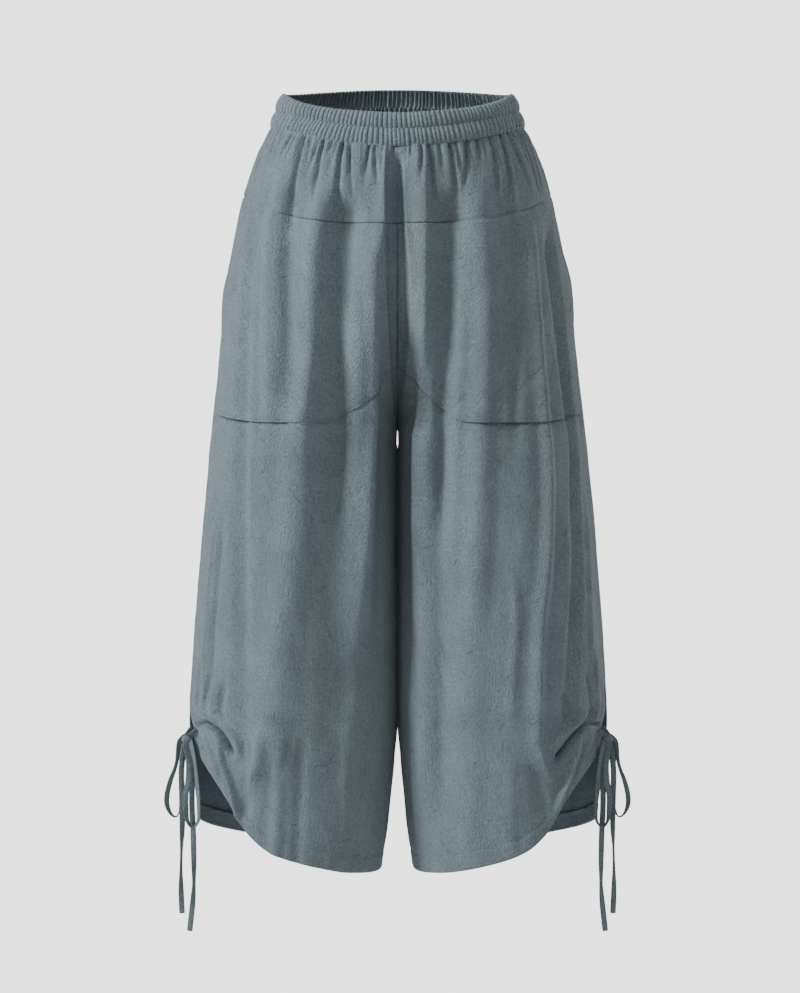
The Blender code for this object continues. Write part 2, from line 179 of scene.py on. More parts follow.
SECTIONS = (
    Section(-900, 225.0, 98.0, 100.0, 180.0, 19.0),
    Section(-860, 226.0, 98.0, 100.0, 180.0, 18.0),
    Section(-818, 228.0, 98.0, 100.0, 180.0, 11.5),
    Section(-780, 231.5, 98.0, 100.0, 180.0, 7.5),
    Section(-740, 236.5, 98.0, 100.0, 180.0, 3.5),
    Section(-700, 239.0, 98.0, 100.0, 180.0, 1.5),
    Section(-658, 237.0, 98.0, 100.0, 180.0, 1.0),
    Section(-567, 230.5, 98.0, 101.0, 180.0, 1.0),
    Section(-476, 223.5, 99.0, 103.0, 180.0, 1.0),
    Section(-408, 217.0, 100.0, 106.0, 180.0, 0.8),
    Section(-380, 214.5, 100.5, 108.5, 180.0, 0.9),
    Section(-362, 212.5, 101.0, 110.0, 180.0, 0.4),
    Section(-340, 210.5, 101.5, 112.0, 168.5, 0.4),
    Section(-316, 208.0, 102.0, 114.5, 156.0, 0.4),
    Section(-271, 202.5, 103.0, 117.5, 136.0, 0.4),
    Section(-226, 197.5, 103.0, 119.0, 120.5, 0.4),
    Section(-180, 191.5, 102.0, 118.0, 108.0, 0.4),
    Section(-130, 182.5, 99.0, 113.0, 98.5, 0.4),
    Section(-98, 175.5, 96.5, 107.5, 94.5, 0.4),
    Section(-66, 165.5, 93.0, 100.0, 92.0, 0.4),
    Section(-40, 155.0, 90.0, 94.0, 90.8, 0.4),
    Section(-19, 144.5, 87.0, 89.5, 90.0, 0.4),
    Section(0, 138.5, 85.0, 86.5, 90.0, 0.4),
    Section(19, 131.5, 82.0, 83.0, 90.0, 0.4),
)
TILT_FADE = (Fade(-400, 0.0), Fade(-200, 0.2), Fade(-118, 0.5), Fade(-40, 1.0), Fade(19, 1.0))
SIDE_LINES = (
    SideLine(-900, 22.0, -4.0, 26.0),
    SideLine(-720, 22.0, -3.0, 26.0),
    SideLine(-697, 20.0, -2.0, 24.0),
    SideLine(-668, 3.4, 2.4, 8.0),
    SideLine(-640, 4.4, 4.4, 8.5),
    SideLine(-600, 6.0, 6.0, 10.0),
    SideLine(-500, 11.0, 11.0, 14.0),
    SideLine(-400, 15.0, 15.0, 17.5),
    SideLine(-340, 17.0, 17.0, 19.0),
    SideLine(-270, 9.0, 9.0, 11.0),
    SideLine(-200, 5.0, 5.0, 7.5),
    SideLine(-165, 4.0, 4.0, 10.0),
    SideLine(-147, 4.0, 4.0, 15.0),
    SideLine(-128, 4.0, 4.0, 19.0),
    SideLine(-98, 4.0, 4.0, 21.0),
    SideLine(-62, 3.0, 3.0, 18.0),
    SideLine(-42, 2.0, 2.0, 15.0),
    SideLine(-19, 1.0, 1.0, 8.0),
    SideLine(19, 0.0, 0.0, 4.0),
)
YOKE_SEAM = (Line(0.0, -118), Line(0.3, -117), Line(0.5, -113), Line(0.75, -104), Line(1.0, -95))
POCKET_FOOT = (Line(0.0, -286), Line(0.13, -303), Line(0.2, -317), Line(0.33, -338),
               Line(0.45, -350), Line(0.7, -350), Line(1.0, -341))
HEM_LINES = {
    Quarter.FRONT: (
        Line(0.0, -860), Line(0.12, -861), Line(0.3, -858), Line(0.45, -850), Line(0.64, -833),
        Line(0.735, -812), Line(0.8, -783), Line(0.87, -756), Line(0.93, -738),
        Line(0.985, -722), Line(1.0, -716),
    ),
    Quarter.BACK: (
        Line(0.0, -860), Line(0.25, -855), Line(0.5, -845), Line(0.75, -828), Line(1.0, -806),
    ),
}

# Long soft folds of each quarter: the ridges and troughs of the hanging cloth.
LONG_FOLDS = {
    (Quarter.FRONT, Side.LEFT): (
        Fold(28, -9.0, -0.25, ((52, -66), (61, -165), (65, -245), (66, -325), (66, -430),
                               (64, -500))),
        Fold(34, -7.0, -0.2, ((52, -66), (61, -165), (65, -245), (66, -325), (65, -438),
                              (65, -550), (68, -661), (70, -780))),
        Fold(22, 9.0, 0.0, ((77, -50), (80, -90), (86, -130), (91, -165), (92, -245),
                            (102, -326), (111, -400))),
        Fold(32, 7.5, 0.0, ((104, -300), (113, -437), (118, -504), (126, -571), (135, -637),
                            (143, -704), (160, -760), (172, -812))),
        Fold(13, -5.0, 0.0, ((113, -60), (120, -130), (122, -165), (120, -245), (122, -330))),
        Fold(20, 6.0, 0.2, ((122, -40), (130, -80), (140, -130), (143, -245),
                            (142, -325), (140, -400))),
        Fold(17, -4.5, -0.2, ((160, -120), (168, -245), (171, -325), (174, -438), (172, -550),
                              (171, -661), (172, -740))),
        Fold(7, 3.0, 0.0, ((205, -450), (214, -550), (219, -640), (219, -705))),
        Fold(9, -5.0, 0.0, ((196, -450), (204, -540), (210, -620), (211, -705))),
        Fold(14, 6.0, 0.0, ((11, -20), (13, -95), (25, -165), (28, -245), (32, -325),
                            (38, -400), (40, -480), (42, -560))),
        Fold(38, 13.0, -0.1, ((36, -205), (38, -300), (40, -400), (42, -500), (44, -640))),
        Fold(14, 1.2, 0.0, ((112, -600), (116, -740), (118, -880))),
        Fold(14, 4.5, 0.0, ((127, -680), (132, -760), (136, -830), (138, -890))),
        Fold(12, -3.5, 0.0, ((107, -690), (111, -780), (114, -890))),
        Fold(12, 1.4, 0.2, ((60, -680), (58, -780), (62, -890))),
    ),
    (Quarter.FRONT, Side.RIGHT): (
        Fold(13, 6.0, 0.3, ((26, 0), (30, -80), (33, -165), (32, -245), (27, -350))),
        Fold(12, 4.5, 0.0, ((28, -290), (27, -325), (26, -400), (26, -540))),
        Fold(36, 9.0, 0.0, ((34, -330), (32, -400), (30, -500), (28, -660), (32, -840))),
        Fold(21, -9.5, 0.0, ((58, -66), (53, -165), (53, -245), (52, -326), (50, -382),
                             (49, -437), (46, -504))),
        Fold(23, -6.5, 0.0, ((58, -66), (53, -165), (53, -245), (52, -326), (50, -382),
                             (49, -437), (47, -504), (49, -571), (51, -661), (51, -810))),
        Fold(24, 8.0, 0.0, ((88, -50), (90, -90), (94, -165), (98, -245), (95, -325),
                            (91, -438), (84, -610))),
        Fold(11, -5.0, 0.0, ((126, -60), (128, -100), (131, -165), (132, -245), (130, -330),
                             (130, -410))),
        Fold(13, 7.0, 0.25, ((148, -110), (155, -240), (160, -303), (162, -330), (168, -382),
                             (170, -440), (168, -504), (161, -571), (158, -637), (158, -704),
                             (168, -772))),
        Fold(15, -9.0, 0.0, ((168, -120), (172, -165), (183, -259), (190, -326), (199, -382),
                             (200, -437), (203, -504), (200, -571), (194, -650), (186, -715))),
        Fold(10, 3.0, 0.0, ((212, -420), (216, -500), (219, -600), (220, -690))),
        Fold(24, 3.5, 0.0, ((88, -510), (84, -600), (82, -683), (84, -880))),
        Fold(9, 2.6, 0.0, ((128, -500), (132, -571), (128, -637), (126, -710))),
        Fold(16, -3.0, 0.0, ((22, -560), (22, -700), (30, -880))),
        Fold(14, 1.6, 0.0, ((128, -700), (126, -780), (128, -880))),
    ),
    (Quarter.BACK, Side.LEFT): (
        Fold(30, -9.0, -0.2, ((62, 0), (70, -120), (72, -300), (74, -490))),
        Fold(34, -7.0, 0.2, ((62, 0), (70, -120), (72, -300), (76, -560), (78, -830))),
        Fold(24, 8.0, -0.3, ((116, -40), (120, -200), (122, -420), (124, -640), (122, -850))),
        Fold(17, -8.0, 0.0, ((158, -110), (167, -300), (172, -560), (172, -790))),
        Fold(14, 5.0, 0.0, ((30, -10), (32, -160), (34, -320), (36, -530))),
        Fold(13, -5.0, 0.0, ((92, 10), (98, -80), (104, -230))),
        Fold(12, 4.0, 0.2, ((196, -400), (206, -600), (208, -770))),
        Fold(16, 4.0, 0.0, ((34, -550), (36, -700), (36, -890))),
        Fold(9, -2.6, 0.0, ((98, -420), (102, -560), (98, -700))),
    ),
    (Quarter.BACK, Side.RIGHT): (
        Fold(26, -8.0, 0.0, ((46, 0), (50, -120), (54, -300), (56, -470))),
        Fold(30, -6.5, 0.0, ((46, 0), (50, -120), (54, -300), (58, -560), (60, -810))),
        Fold(24, 8.0, 0.3, ((88, -40), (94, -220), (98, -460), (96, -680), (98, -890))),
        Fold(18, -8.0, 0.0, ((138, -150), (140, -360), (136, -640), (134, -890))),
        Fold(14, 5.5, 0.0, ((164, -110), (172, -300), (178, -560), (176, -810))),
        Fold(12, -5.0, 0.0, ((100, 10), (106, -60), (112, -210))),
        Fold(12, -5.0, 0.0, ((196, -350), (204, -560), (206, -730))),
        Fold(14, 4.0, 0.0, ((24, -20), (26, -180), (28, -370))),
        Fold(9, 2.6, 0.0, ((150, -500), (154, -620), (150, -740))),
    ),
}


class CentreFold(NamedTuple):
    """The pleat at the centre front: its depth, its floor's width and the width of its flank."""

    level: float
    depth: float
    floor: float
    flank: float


CENTRE_FOLDS = {
    Side.LEFT: (
        CentreFold(-385, 0.0, 9.0, 6.0), CentreFold(-355, 8.0, 9.5, 5.0),
        CentreFold(-310, 14.0, 9.5, 3.6), CentreFold(-250, 15.0, 9.5, 3.0),
        CentreFold(-118, 13.0, 9.2, 2.4), CentreFold(-50, 10.0, 8.8, 2.4),
        CentreFold(-22, 2.0, 8.0, 2.6),
    ),
    Side.RIGHT: (
        CentreFold(-385, 0.0, 4.0, 12.0), CentreFold(-355, 8.0, 6.5, 9.5),
        CentreFold(-310, 13.0, 8.0, 9.5), CentreFold(-250, 14.0, 8.0, 10.0),
        CentreFold(-170, 13.5, 5.5, 8.0), CentreFold(-118, 13.0, 3.0, 5.5),
        CentreFold(-50, 10.0, 1.6, 4.5), CentreFold(-22, 2.0, 1.0, 4.5),
    ),
}

# The line where each leg's inseam turns forward below the knee.
INSEAM_LINES = {
    Side.LEFT: Crease(2.4, -0.8, 0.0, ((0.05, -560), (0.10, -680), (0.13, -760), (0.15, -856))),
    Side.RIGHT: Crease(2.4, -1.4, 0.0, ((0.13, -560), (0.157, -665), (0.19, -726),
                                        (0.207, -764), (0.223, -805), (0.263, -860))),
}

# The drawn-up corner of each front panel: the tuck, its lip and the creases that run into it.
CORNER_CREASES = {
    Side.LEFT: (
        Crease(6.2, -19.0, -0.35, ((0.90, -690), (0.867, -691), (0.84, -695), (0.813, -702),
                                   (0.797, -710), (0.783, -719), (0.775, -730))),
        Crease(9.0, 5.5, 0.0, ((0.85, -681), (0.82, -684), (0.79, -690), (0.765, -702),
                               (0.75, -718), (0.75, -735))),
        Crease(6.4, 8.5, 0.0, ((0.865, -698), (0.85, -703), (0.833, -713), (0.82, -733),
                               (0.79, -757), (0.777, -780), (0.76, -812))),
        Crease(3.6, -4.5, 0.0, ((0.99, -697), (0.955, -695), (0.91, -692), (0.86, -691))),
        Crease(4.5, -4.6, 0.0, ((0.82, -630), (0.825, -665), (0.85, -682), (0.885, -693))),
        Crease(5.0, 4.0, 0.0, ((0.885, -610), (0.875, -650), (0.88, -678), (0.93, -692))),
        Crease(4.0, -3.2, 0.0, ((0.94, -640), (0.94, -670), (0.955, -692))),
        Crease(5.0, 3.0, 0.0, ((0.785, -640), (0.79, -668), (0.82, -684), (0.86, -690))),
        Crease(9.0, -5.5, 0.0, ((0.74, -640), (0.745, -668), (0.78, -684), (0.83, -690))),
        Crease(11.0, 4.0, 0.0, ((0.67, -690), (0.68, -730), (0.72, -760), (0.76, -775))),
        Crease(14.0, -5.0, 0.0, ((0.71, -740), (0.735, -765), (0.74, -800))),
        Crease(8.0, 3.2, 0.0, ((0.93, -700), (0.90, -716), (0.87, -735), (0.85, -752))),
    ),
    Side.RIGHT: (
        Crease(6.6, -19.0, -0.35, ((0.90, -690), (0.867, -691), (0.845, -697), (0.82, -704),
                                   (0.795, -713), (0.765, -724), (0.745, -737))),
        Crease(9.0, 5.5, 0.0, ((0.85, -681), (0.82, -686), (0.785, -695), (0.75, -708),
                               (0.725, -722))),
        Crease(6.4, 8.5, 0.0, ((0.865, -697), (0.855, -702), (0.846, -718), (0.815, -749),
                               (0.785, -771), (0.755, -800))),
        Crease(3.6, -4.5, 0.0, ((0.99, -697), (0.955, -694), (0.91, -692), (0.86, -692))),
        Crease(4.5, -4.6, 0.0, ((0.825, -630), (0.835, -668), (0.87, -684), (0.915, -691))),
        Crease(5.0, 4.6, 0.0, ((0.88, -600), (0.87, -655), (0.875, -676), (0.94, -691))),
        Crease(4.0, -3.0, 0.0, ((0.945, -640), (0.94, -672), (0.955, -692))),
        Crease(10.0, -5.0, 0.0, ((0.70, -650), (0.73, -675), (0.79, -688))),
        Crease(9.0, 3.2, 0.0, ((0.68, -711), (0.723, -738), (0.763, -765))),
        Crease(13.0, -4.5, 0.0, ((0.66, -730), (0.70, -765), (0.72, -800))),
        Crease(8.0, 3.4, 0.0, ((0.93, -700), (0.895, -718), (0.87, -736), (0.85, -752))),
    ),
}


class Gather(NamedTuple):
    """One gather from the band's seam down the yoke, with its half-widths at both ends."""

    top_around: float
    foot_around: float
    foot_level: float
    top_width: float
    foot_width: float
    depth: float


# The deepest gathers under the band.
GATHERS = {
    (Quarter.FRONT, Side.LEFT): (
        Gather(0.510, 0.485, -140, 3.0, 7.5, 4.4), Gather(0.390, 0.370, -116, 2.8, 5.5, 4.2),
        Gather(0.283, 0.247, -150, 3.0, 9.0, 4.8), Gather(0.243, 0.180, -104, 2.4, 4.0, 3.2),
        Gather(0.143, 0.147, -76, 3.0, 5.0, 3.6), Gather(0.113, 0.073, -94, 2.4, 4.0, 3.2),
        Gather(0.750, 0.723, -74, 2.6, 4.0, 4.2), Gather(0.603, 0.630, -46, 2.6, 3.4, 3.4),
        Gather(0.870, 0.920, -98, 2.6, 4.0, 2.6), Gather(0.460, 0.445, -64, 2.4, 3.6, 2.4),
        Gather(0.680, 0.660, -60, 2.4, 3.6, 2.2), Gather(0.340, 0.325, -56, 2.4, 3.4, 2.2),
    ),
    (Quarter.FRONT, Side.RIGHT): (
        Gather(0.043, 0.030, -48, 2.4, 3.4, 1.6), Gather(0.120, 0.097, -72, 3.0, 4.5, 3.6),
        Gather(0.157, 0.165, -126, 2.6, 5.0, 4.4), Gather(0.267, 0.262, -122, 3.2, 6.5, 5.2),
        Gather(0.303, 0.303, -60, 2.6, 4.0, 3.4), Gather(0.367, 0.290, -88, 3.4, 5.0, 4.6),
        Gather(0.427, 0.410, -50, 2.6, 3.6, 2.8), Gather(0.523, 0.463, -112, 3.0, 6.0, 4.6),
        Gather(0.600, 0.557, -118, 3.2, 6.5, 5.4), Gather(0.673, 0.700, -100, 3.0, 4.5, 4.0),
        Gather(0.793, 0.773, -106, 3.0, 4.5, 3.8), Gather(0.930, 0.840, -106, 3.0, 5.0, 3.4),
        Gather(0.205, 0.210, -58, 2.4, 3.4, 2.2),
    ),
    (Quarter.BACK, Side.LEFT): (
        Gather(0.045, 0.040, -84, 3.0, 4.0, 3.4), Gather(0.100, 0.100, -118, 4.0, 7.0, 5.0),
        Gather(0.160, 0.150, -62, 2.4, 4.0, 3.0), Gather(0.210, 0.200, -88, 3.0, 5.0, 3.8),
        Gather(0.330, 0.340, -118, 4.5, 8.0, 5.4), Gather(0.390, 0.410, -70, 2.6, 4.0, 3.2),
        Gather(0.460, 0.450, -86, 3.2, 5.0, 4.0), Gather(0.600, 0.610, -110, 4.0, 7.0, 4.8),
        Gather(0.690, 0.680, -66, 2.6, 4.0, 3.0), Gather(0.780, 0.790, -80, 3.0, 4.5, 3.6),
        Gather(0.880, 0.870, -70, 2.6, 4.0, 2.8),
    ),
    (Quarter.BACK, Side.RIGHT): (
        Gather(0.050, 0.050, -84, 3.0, 4.5, 3.6), Gather(0.140, 0.130, -118, 4.0, 7.5, 5.2),
        Gather(0.200, 0.215, -64, 2.4, 4.0, 3.0), Gather(0.270, 0.280, -90, 3.0, 4.5, 3.8),
        Gather(0.400, 0.390, -118, 4.5, 8.0, 5.2), Gather(0.470, 0.460, -66, 2.6, 4.0, 3.2),
        Gather(0.540, 0.530, -84, 3.0, 4.5, 3.8), Gather(0.670, 0.680, -108, 4.0, 7.0, 4.8),
        Gather(0.760, 0.750, -62, 2.6, 4.0, 3.0), Gather(0.830, 0.840, -78, 3.0, 4.5, 3.4),
        Gather(0.910, 0.900, -66, 2.6, 4.0, 2.6),
    ),
}

# Uneven hang of the cloth, from broad to small.
SOFT_HILLS = (Hills(46.0, 170.0, 1.5), Hills(19.0, 52.0, 0.55), Hills(8.0, 14.0, 0.2))

# The ties of one side: each runs from the gather through the knot, round its loop, back through
# the knot and down its tail.
TIE_ROUTES = {
    "outer": (
        RoutePoint(231.5, -40.0, -696.0, 30), RoutePoint(234.5, -39.6, -700.0, 20),
        RoutePoint(238.8, -38.0, -706.0, 15), RoutePoint(243.0, -38.2, -708.6, 25),
        RoutePoint(247.4, -38.0, -715.0, 40), RoutePoint(249.7, -37.5, -734.5, 62),
        RoutePoint(252.9, -37.0, -746.3, 60), RoutePoint(256.8, -36.5, -756.5, 45),
        RoutePoint(260.8, -36.0, -772.0, 26), RoutePoint(261.4, -35.5, -784.0, 35),
        RoutePoint(257.9, -35.0, -794.0, 68), RoutePoint(252.6, -34.0, -799.0, 84),
        RoutePoint(248.4, -32.8, -796.0, 86), RoutePoint(245.8, -32.0, -780.0, 60),
        RoutePoint(245.0, -31.6, -752.0, 40), RoutePoint(245.0, -31.6, -730.0, 30),
        RoutePoint(245.0, -32.4, -718.0, 20), RoutePoint(243.0, -34.4, -711.5, 10),
        RoutePoint(240.4, -37.0, -712.0, 5), RoutePoint(242.0, -38.8, -724.0, 12),
        RoutePoint(244.6, -38.6, -746.0, 10), RoutePoint(244.2, -38.4, -777.0, 8),
        RoutePoint(243.8, -38.2, -807.0, 20), RoutePoint(244.7, -38.0, -833.0, 70),
        RoutePoint(245.4, -38.0, -862.0, 72), RoutePoint(245.2, -38.0, -886.0, 30),
        RoutePoint(244.2, -38.0, -908.5, 10),
    ),
    "inner": (
        RoutePoint(226.8, -45.6, -699.6, 30), RoutePoint(229.5, -44.0, -701.6, 24),
        RoutePoint(233.6, -41.4, -705.4, 15), RoutePoint(238.4, -43.0, -709.0, 8),
        RoutePoint(238.6, -46.0, -720.0, 25), RoutePoint(235.8, -47.0, -736.0, 12),
        RoutePoint(236.4, -47.0, -756.5, 4), RoutePoint(239.4, -46.5, -772.0, 6),
        RoutePoint(239.4, -46.0, -788.0, 20), RoutePoint(237.6, -45.5, -802.0, 62),
        RoutePoint(232.0, -45.5, -810.3, 84), RoutePoint(226.5, -45.5, -805.0, 66),
        RoutePoint(224.6, -46.0, -797.0, 52), RoutePoint(224.9, -47.0, -776.8, 40),
        RoutePoint(226.5, -48.5, -756.5, 40), RoutePoint(228.6, -49.6, -736.0, 50),
        RoutePoint(231.6, -47.6, -721.0, 40), RoutePoint(234.4, -43.6, -712.0, 20),
        RoutePoint(235.2, -39.6, -713.6, 5), RoutePoint(233.0, -40.2, -727.0, 8),
        RoutePoint(232.6, -41.0, -756.5, 8), RoutePoint(232.6, -40.5, -787.0, 6),
        RoutePoint(231.4, -40.0, -813.6, 4), RoutePoint(230.8, -40.0, -841.0, 12),
        RoutePoint(230.6, -40.0, -872.0, 66), RoutePoint(231.5, -40.0, -890.0, 40),
        RoutePoint(233.1, -40.0, -906.5, 12), RoutePoint(235.6, -40.0, -928.4, 5),
    ),
}


# ---------------------------------------------------------------- arithmetic
def ease(share: Array) -> Array:
    """Soft step from 0 to 1."""
    share = np.clip(share, 0.0, 1.0)
    return share * share * (3 - 2 * share)


def swell(across: Array) -> Array:
    """Rounded bump, 1 at 0 and flat at 0 from 1 on."""
    return (1 + np.cos(math.pi * np.clip(np.abs(across), 0.0, 1.0))) / 2


def travel(points: Array) -> Array:
    """Distance along a line of points, from 0 at the first."""
    steps = np.linalg.norm(np.diff(points, axis=0), axis=1)
    return np.concatenate([[0.0], np.cumsum(steps)])


def spline_weights(share: Array) -> tuple[Array, ...]:
    """Weights of the four lattice points round a place, for a curve that is smooth throughout.

    Args:
        share: How far each place is between its second and its third lattice point.

    Returns:
        The four weights at each place, which add up to 1.
    """
    rest = 1 - share
    return (rest ** 3 / 6, (3 * share ** 3 - 6 * share ** 2 + 4) / 6,
            (3 * rest ** 3 - 6 * rest ** 2 + 4) / 6, share ** 3 / 6)


@dataclass(frozen=True)
class SoftNoise:
    """Smooth random hills, the same each time, with their own width and length."""

    seed: int
    width: float
    length: float
    height: float

    def at(self, across: Array, down: Array) -> Array:
        """Height of the hills.

        Args:
            across: Places across the cloth, in millimetres from 0 up.
            down: Places down the cloth, in millimetres from 0 up.

        Returns:
            Heights in millimetres, mostly within plus and minus the noise's height.
        """
        column = across / self.width + 1
        row = down / self.length + 1
        first_column = np.floor(column).astype(int)
        first_row = np.floor(row).astype(int)
        lattice = np.random.default_rng(self.seed).uniform(
            -1.0, 1.0, (int(first_row.max()) + 4, int(first_column.max()) + 4))
        total = np.zeros_like(across)
        for step_down, weight_down in enumerate(spline_weights(row - first_row)):
            for step_across, weight_across in enumerate(spline_weights(column - first_column)):
                values = lattice[first_row + step_down, first_column + step_across]
                total += weight_down * weight_across * values
        return 2.2 * self.height * total


class SizeTable:
    """Rows of sizes, with a soft curve through each named column that never overshoots."""

    def __init__(self, rows: Sequence[NamedTuple]) -> None:
        """Keep the rows, which rise or fall along their first column.

        Args:
            rows: Rows of one NamedTuple class.
        """
        self.rows = tuple(rows)
        self.places = np.array([row[0] for row in rows], dtype=float)

    def at(self, column: str, place: Array) -> Array:
        """Value of a column at each place.

        Args:
            column: The column's name.
            place: Places along the first column.

        Returns:
            The values there.
        """
        values = np.array([getattr(row, column) for row in self.rows], dtype=float)
        place = np.clip(place, self.places[0], self.places[-1])
        steps = np.diff(self.places)
        slopes = np.diff(values) / steps
        same_way = slopes[:-1] * slopes[1:] > 0
        mean = 2 * slopes[:-1] * slopes[1:] / np.where(same_way, slopes[:-1] + slopes[1:], 1.0)
        turns = np.concatenate([slopes[:1], np.where(same_way, mean, 0.0), slopes[-1:]])
        first = np.clip(np.searchsorted(self.places, place, side="right") - 1, 0, len(steps) - 1)
        step = steps[first]
        t = (place - self.places[first]) / step
        return (values[first] * (1 + 2 * t) * (1 - t) ** 2
                + values[first + 1] * t ** 2 * (3 - 2 * t)
                + step * turns[first] * t * (1 - t) ** 2
                - step * turns[first + 1] * t ** 2 * (1 - t))


def seam_level(rows: Sequence[Line], around: Array) -> Array:
    """Level of a seam or hem at each place round."""
    return SizeTable(rows).at("level", around)


# ---------------------------------------------------------------- the cloth surface
@dataclass(frozen=True)
class ClothForm:
    """The plain surface of the garment, before any fold."""

    sections: SizeTable = SizeTable(SECTIONS)
    tilt_fade: SizeTable = SizeTable(TILT_FADE)
    side_lines: SizeTable = SizeTable(SIDE_LINES)
    crotch_level: float = -362.0
    front_dip: float = 24.0
    back_rise: float = 11.0
    seam_gap: float = 0.4
    seam_tuck: float = 1.4
    leg_touch: float = 0.3

    def centre_turn(self, level: Array) -> Array:
        """Angle from a leg oval's widest point to its centre seam or inseam."""
        return np.radians(self.sections.at("centre_turn", level))

    def oval(self, level: Array) -> tuple[Array, Array]:
        """Centre and half-width of a leg's oval at each level."""
        half_width = self.sections.at("half_width", level)
        half_gap = self.sections.at("half_gap", level)
        joined_half = half_width / (1 - np.cos(self.centre_turn(level)))
        half = np.where(level > self.crotch_level, joined_half, (half_width - half_gap) / 2)
        return half_width - half, half

    def side_turn(self, level: Array, quarter: Quarter) -> Array:
        """Angle of a quarter's side edge, forward of the widest point."""
        return np.radians(self.side_lines.at(f"{quarter.word}_edge", level))

    def turn(self, level: Array, around: Array, quarter: Quarter) -> Array:
        """Angle of a place, forward of the widest point."""
        half_seam = quarter.value * self.seam_gap / 2 / self.sections.at("front_depth", level)
        side = self.side_turn(level, quarter) + half_seam
        centre = quarter.value * self.centre_turn(level) - half_seam
        return centre + (side - centre) * around

    def across_at(self, x: Array, level: Array, quarter: Quarter) -> Array:
        """How far round from the centre a place lies, in millimetres, from its x."""
        centre, half = self.oval(level)
        turn = quarter.value * np.arccos(np.clip((x - centre) / half, -1.0, 1.0))
        start, end = (self.turn(level, around, quarter) for around in (0.0, 1.0))
        return (start - turn) / (start - end) * self.arc(level, quarter)

    def mouth_around(self, level: Array) -> Array:
        """Place round of the pocket's mouth, and of the fold above it in the yoke."""
        mouth = np.radians(self.side_lines.at("mouth", level))
        reach = self.centre_turn(level)
        return (reach - mouth) / (reach - self.side_turn(level, Quarter.FRONT))

    def depth(self, level: Array, turn: Array) -> Array:
        """Depth of the oval, in front of its widest point or behind it."""
        return np.where(turn > 0, self.sections.at("front_depth", level),
                        self.sections.at("back_depth", level))

    def arc(self, level: Array, quarter: Quarter) -> Array:
        """Length round a quarter at each level, in millimetres."""
        half = self.oval(level)[1]
        depth = self.sections.at(f"{quarter.word}_depth", level)
        return self.centre_turn(level) * (half + depth) / 2

    def tilt(self, level: Array, turn: Array) -> Array:
        """How far the level lines rise at the back or dip at the front."""
        lean = np.sin(turn)
        rise = np.where(lean > 0, -self.front_dip * lean ** 2, self.back_rise * lean ** 2)
        return rise * self.tilt_fade.at("share", level)

    def points(self, level: Array, around: Array, quarter: Quarter, side: Side,
               raised: Array) -> Array:
        """Points of the cloth.

        Args:
            level: Levels of the points.
            around: Their places round the quarter.
            quarter: Front or back.
            side: Left or right.
            raised: How far each point stands out of the plain surface.

        Returns:
            Their x, y and z in millimetres.
        """
        centre, half = self.oval(level)
        turn = self.turn(level, around, quarter)
        depth = self.depth(level, turn)
        out_x = np.cos(turn) / half
        out_y = -np.sin(turn) / depth
        length = np.hypot(out_x, out_y)
        inmost = np.where(around < 0, -self.seam_tuck, -self.leg_touch)
        sideways = np.where((raised < 0) & (out_x < 0), 0.0, raised * out_x / length)
        x = np.maximum(centre + half * np.cos(turn) + sideways, inmost)
        y = -depth * np.sin(turn) + raised * out_y / length
        return np.stack([side.value * x, y, level + self.tilt(level, turn)], axis=-1)


FORM = ClothForm()


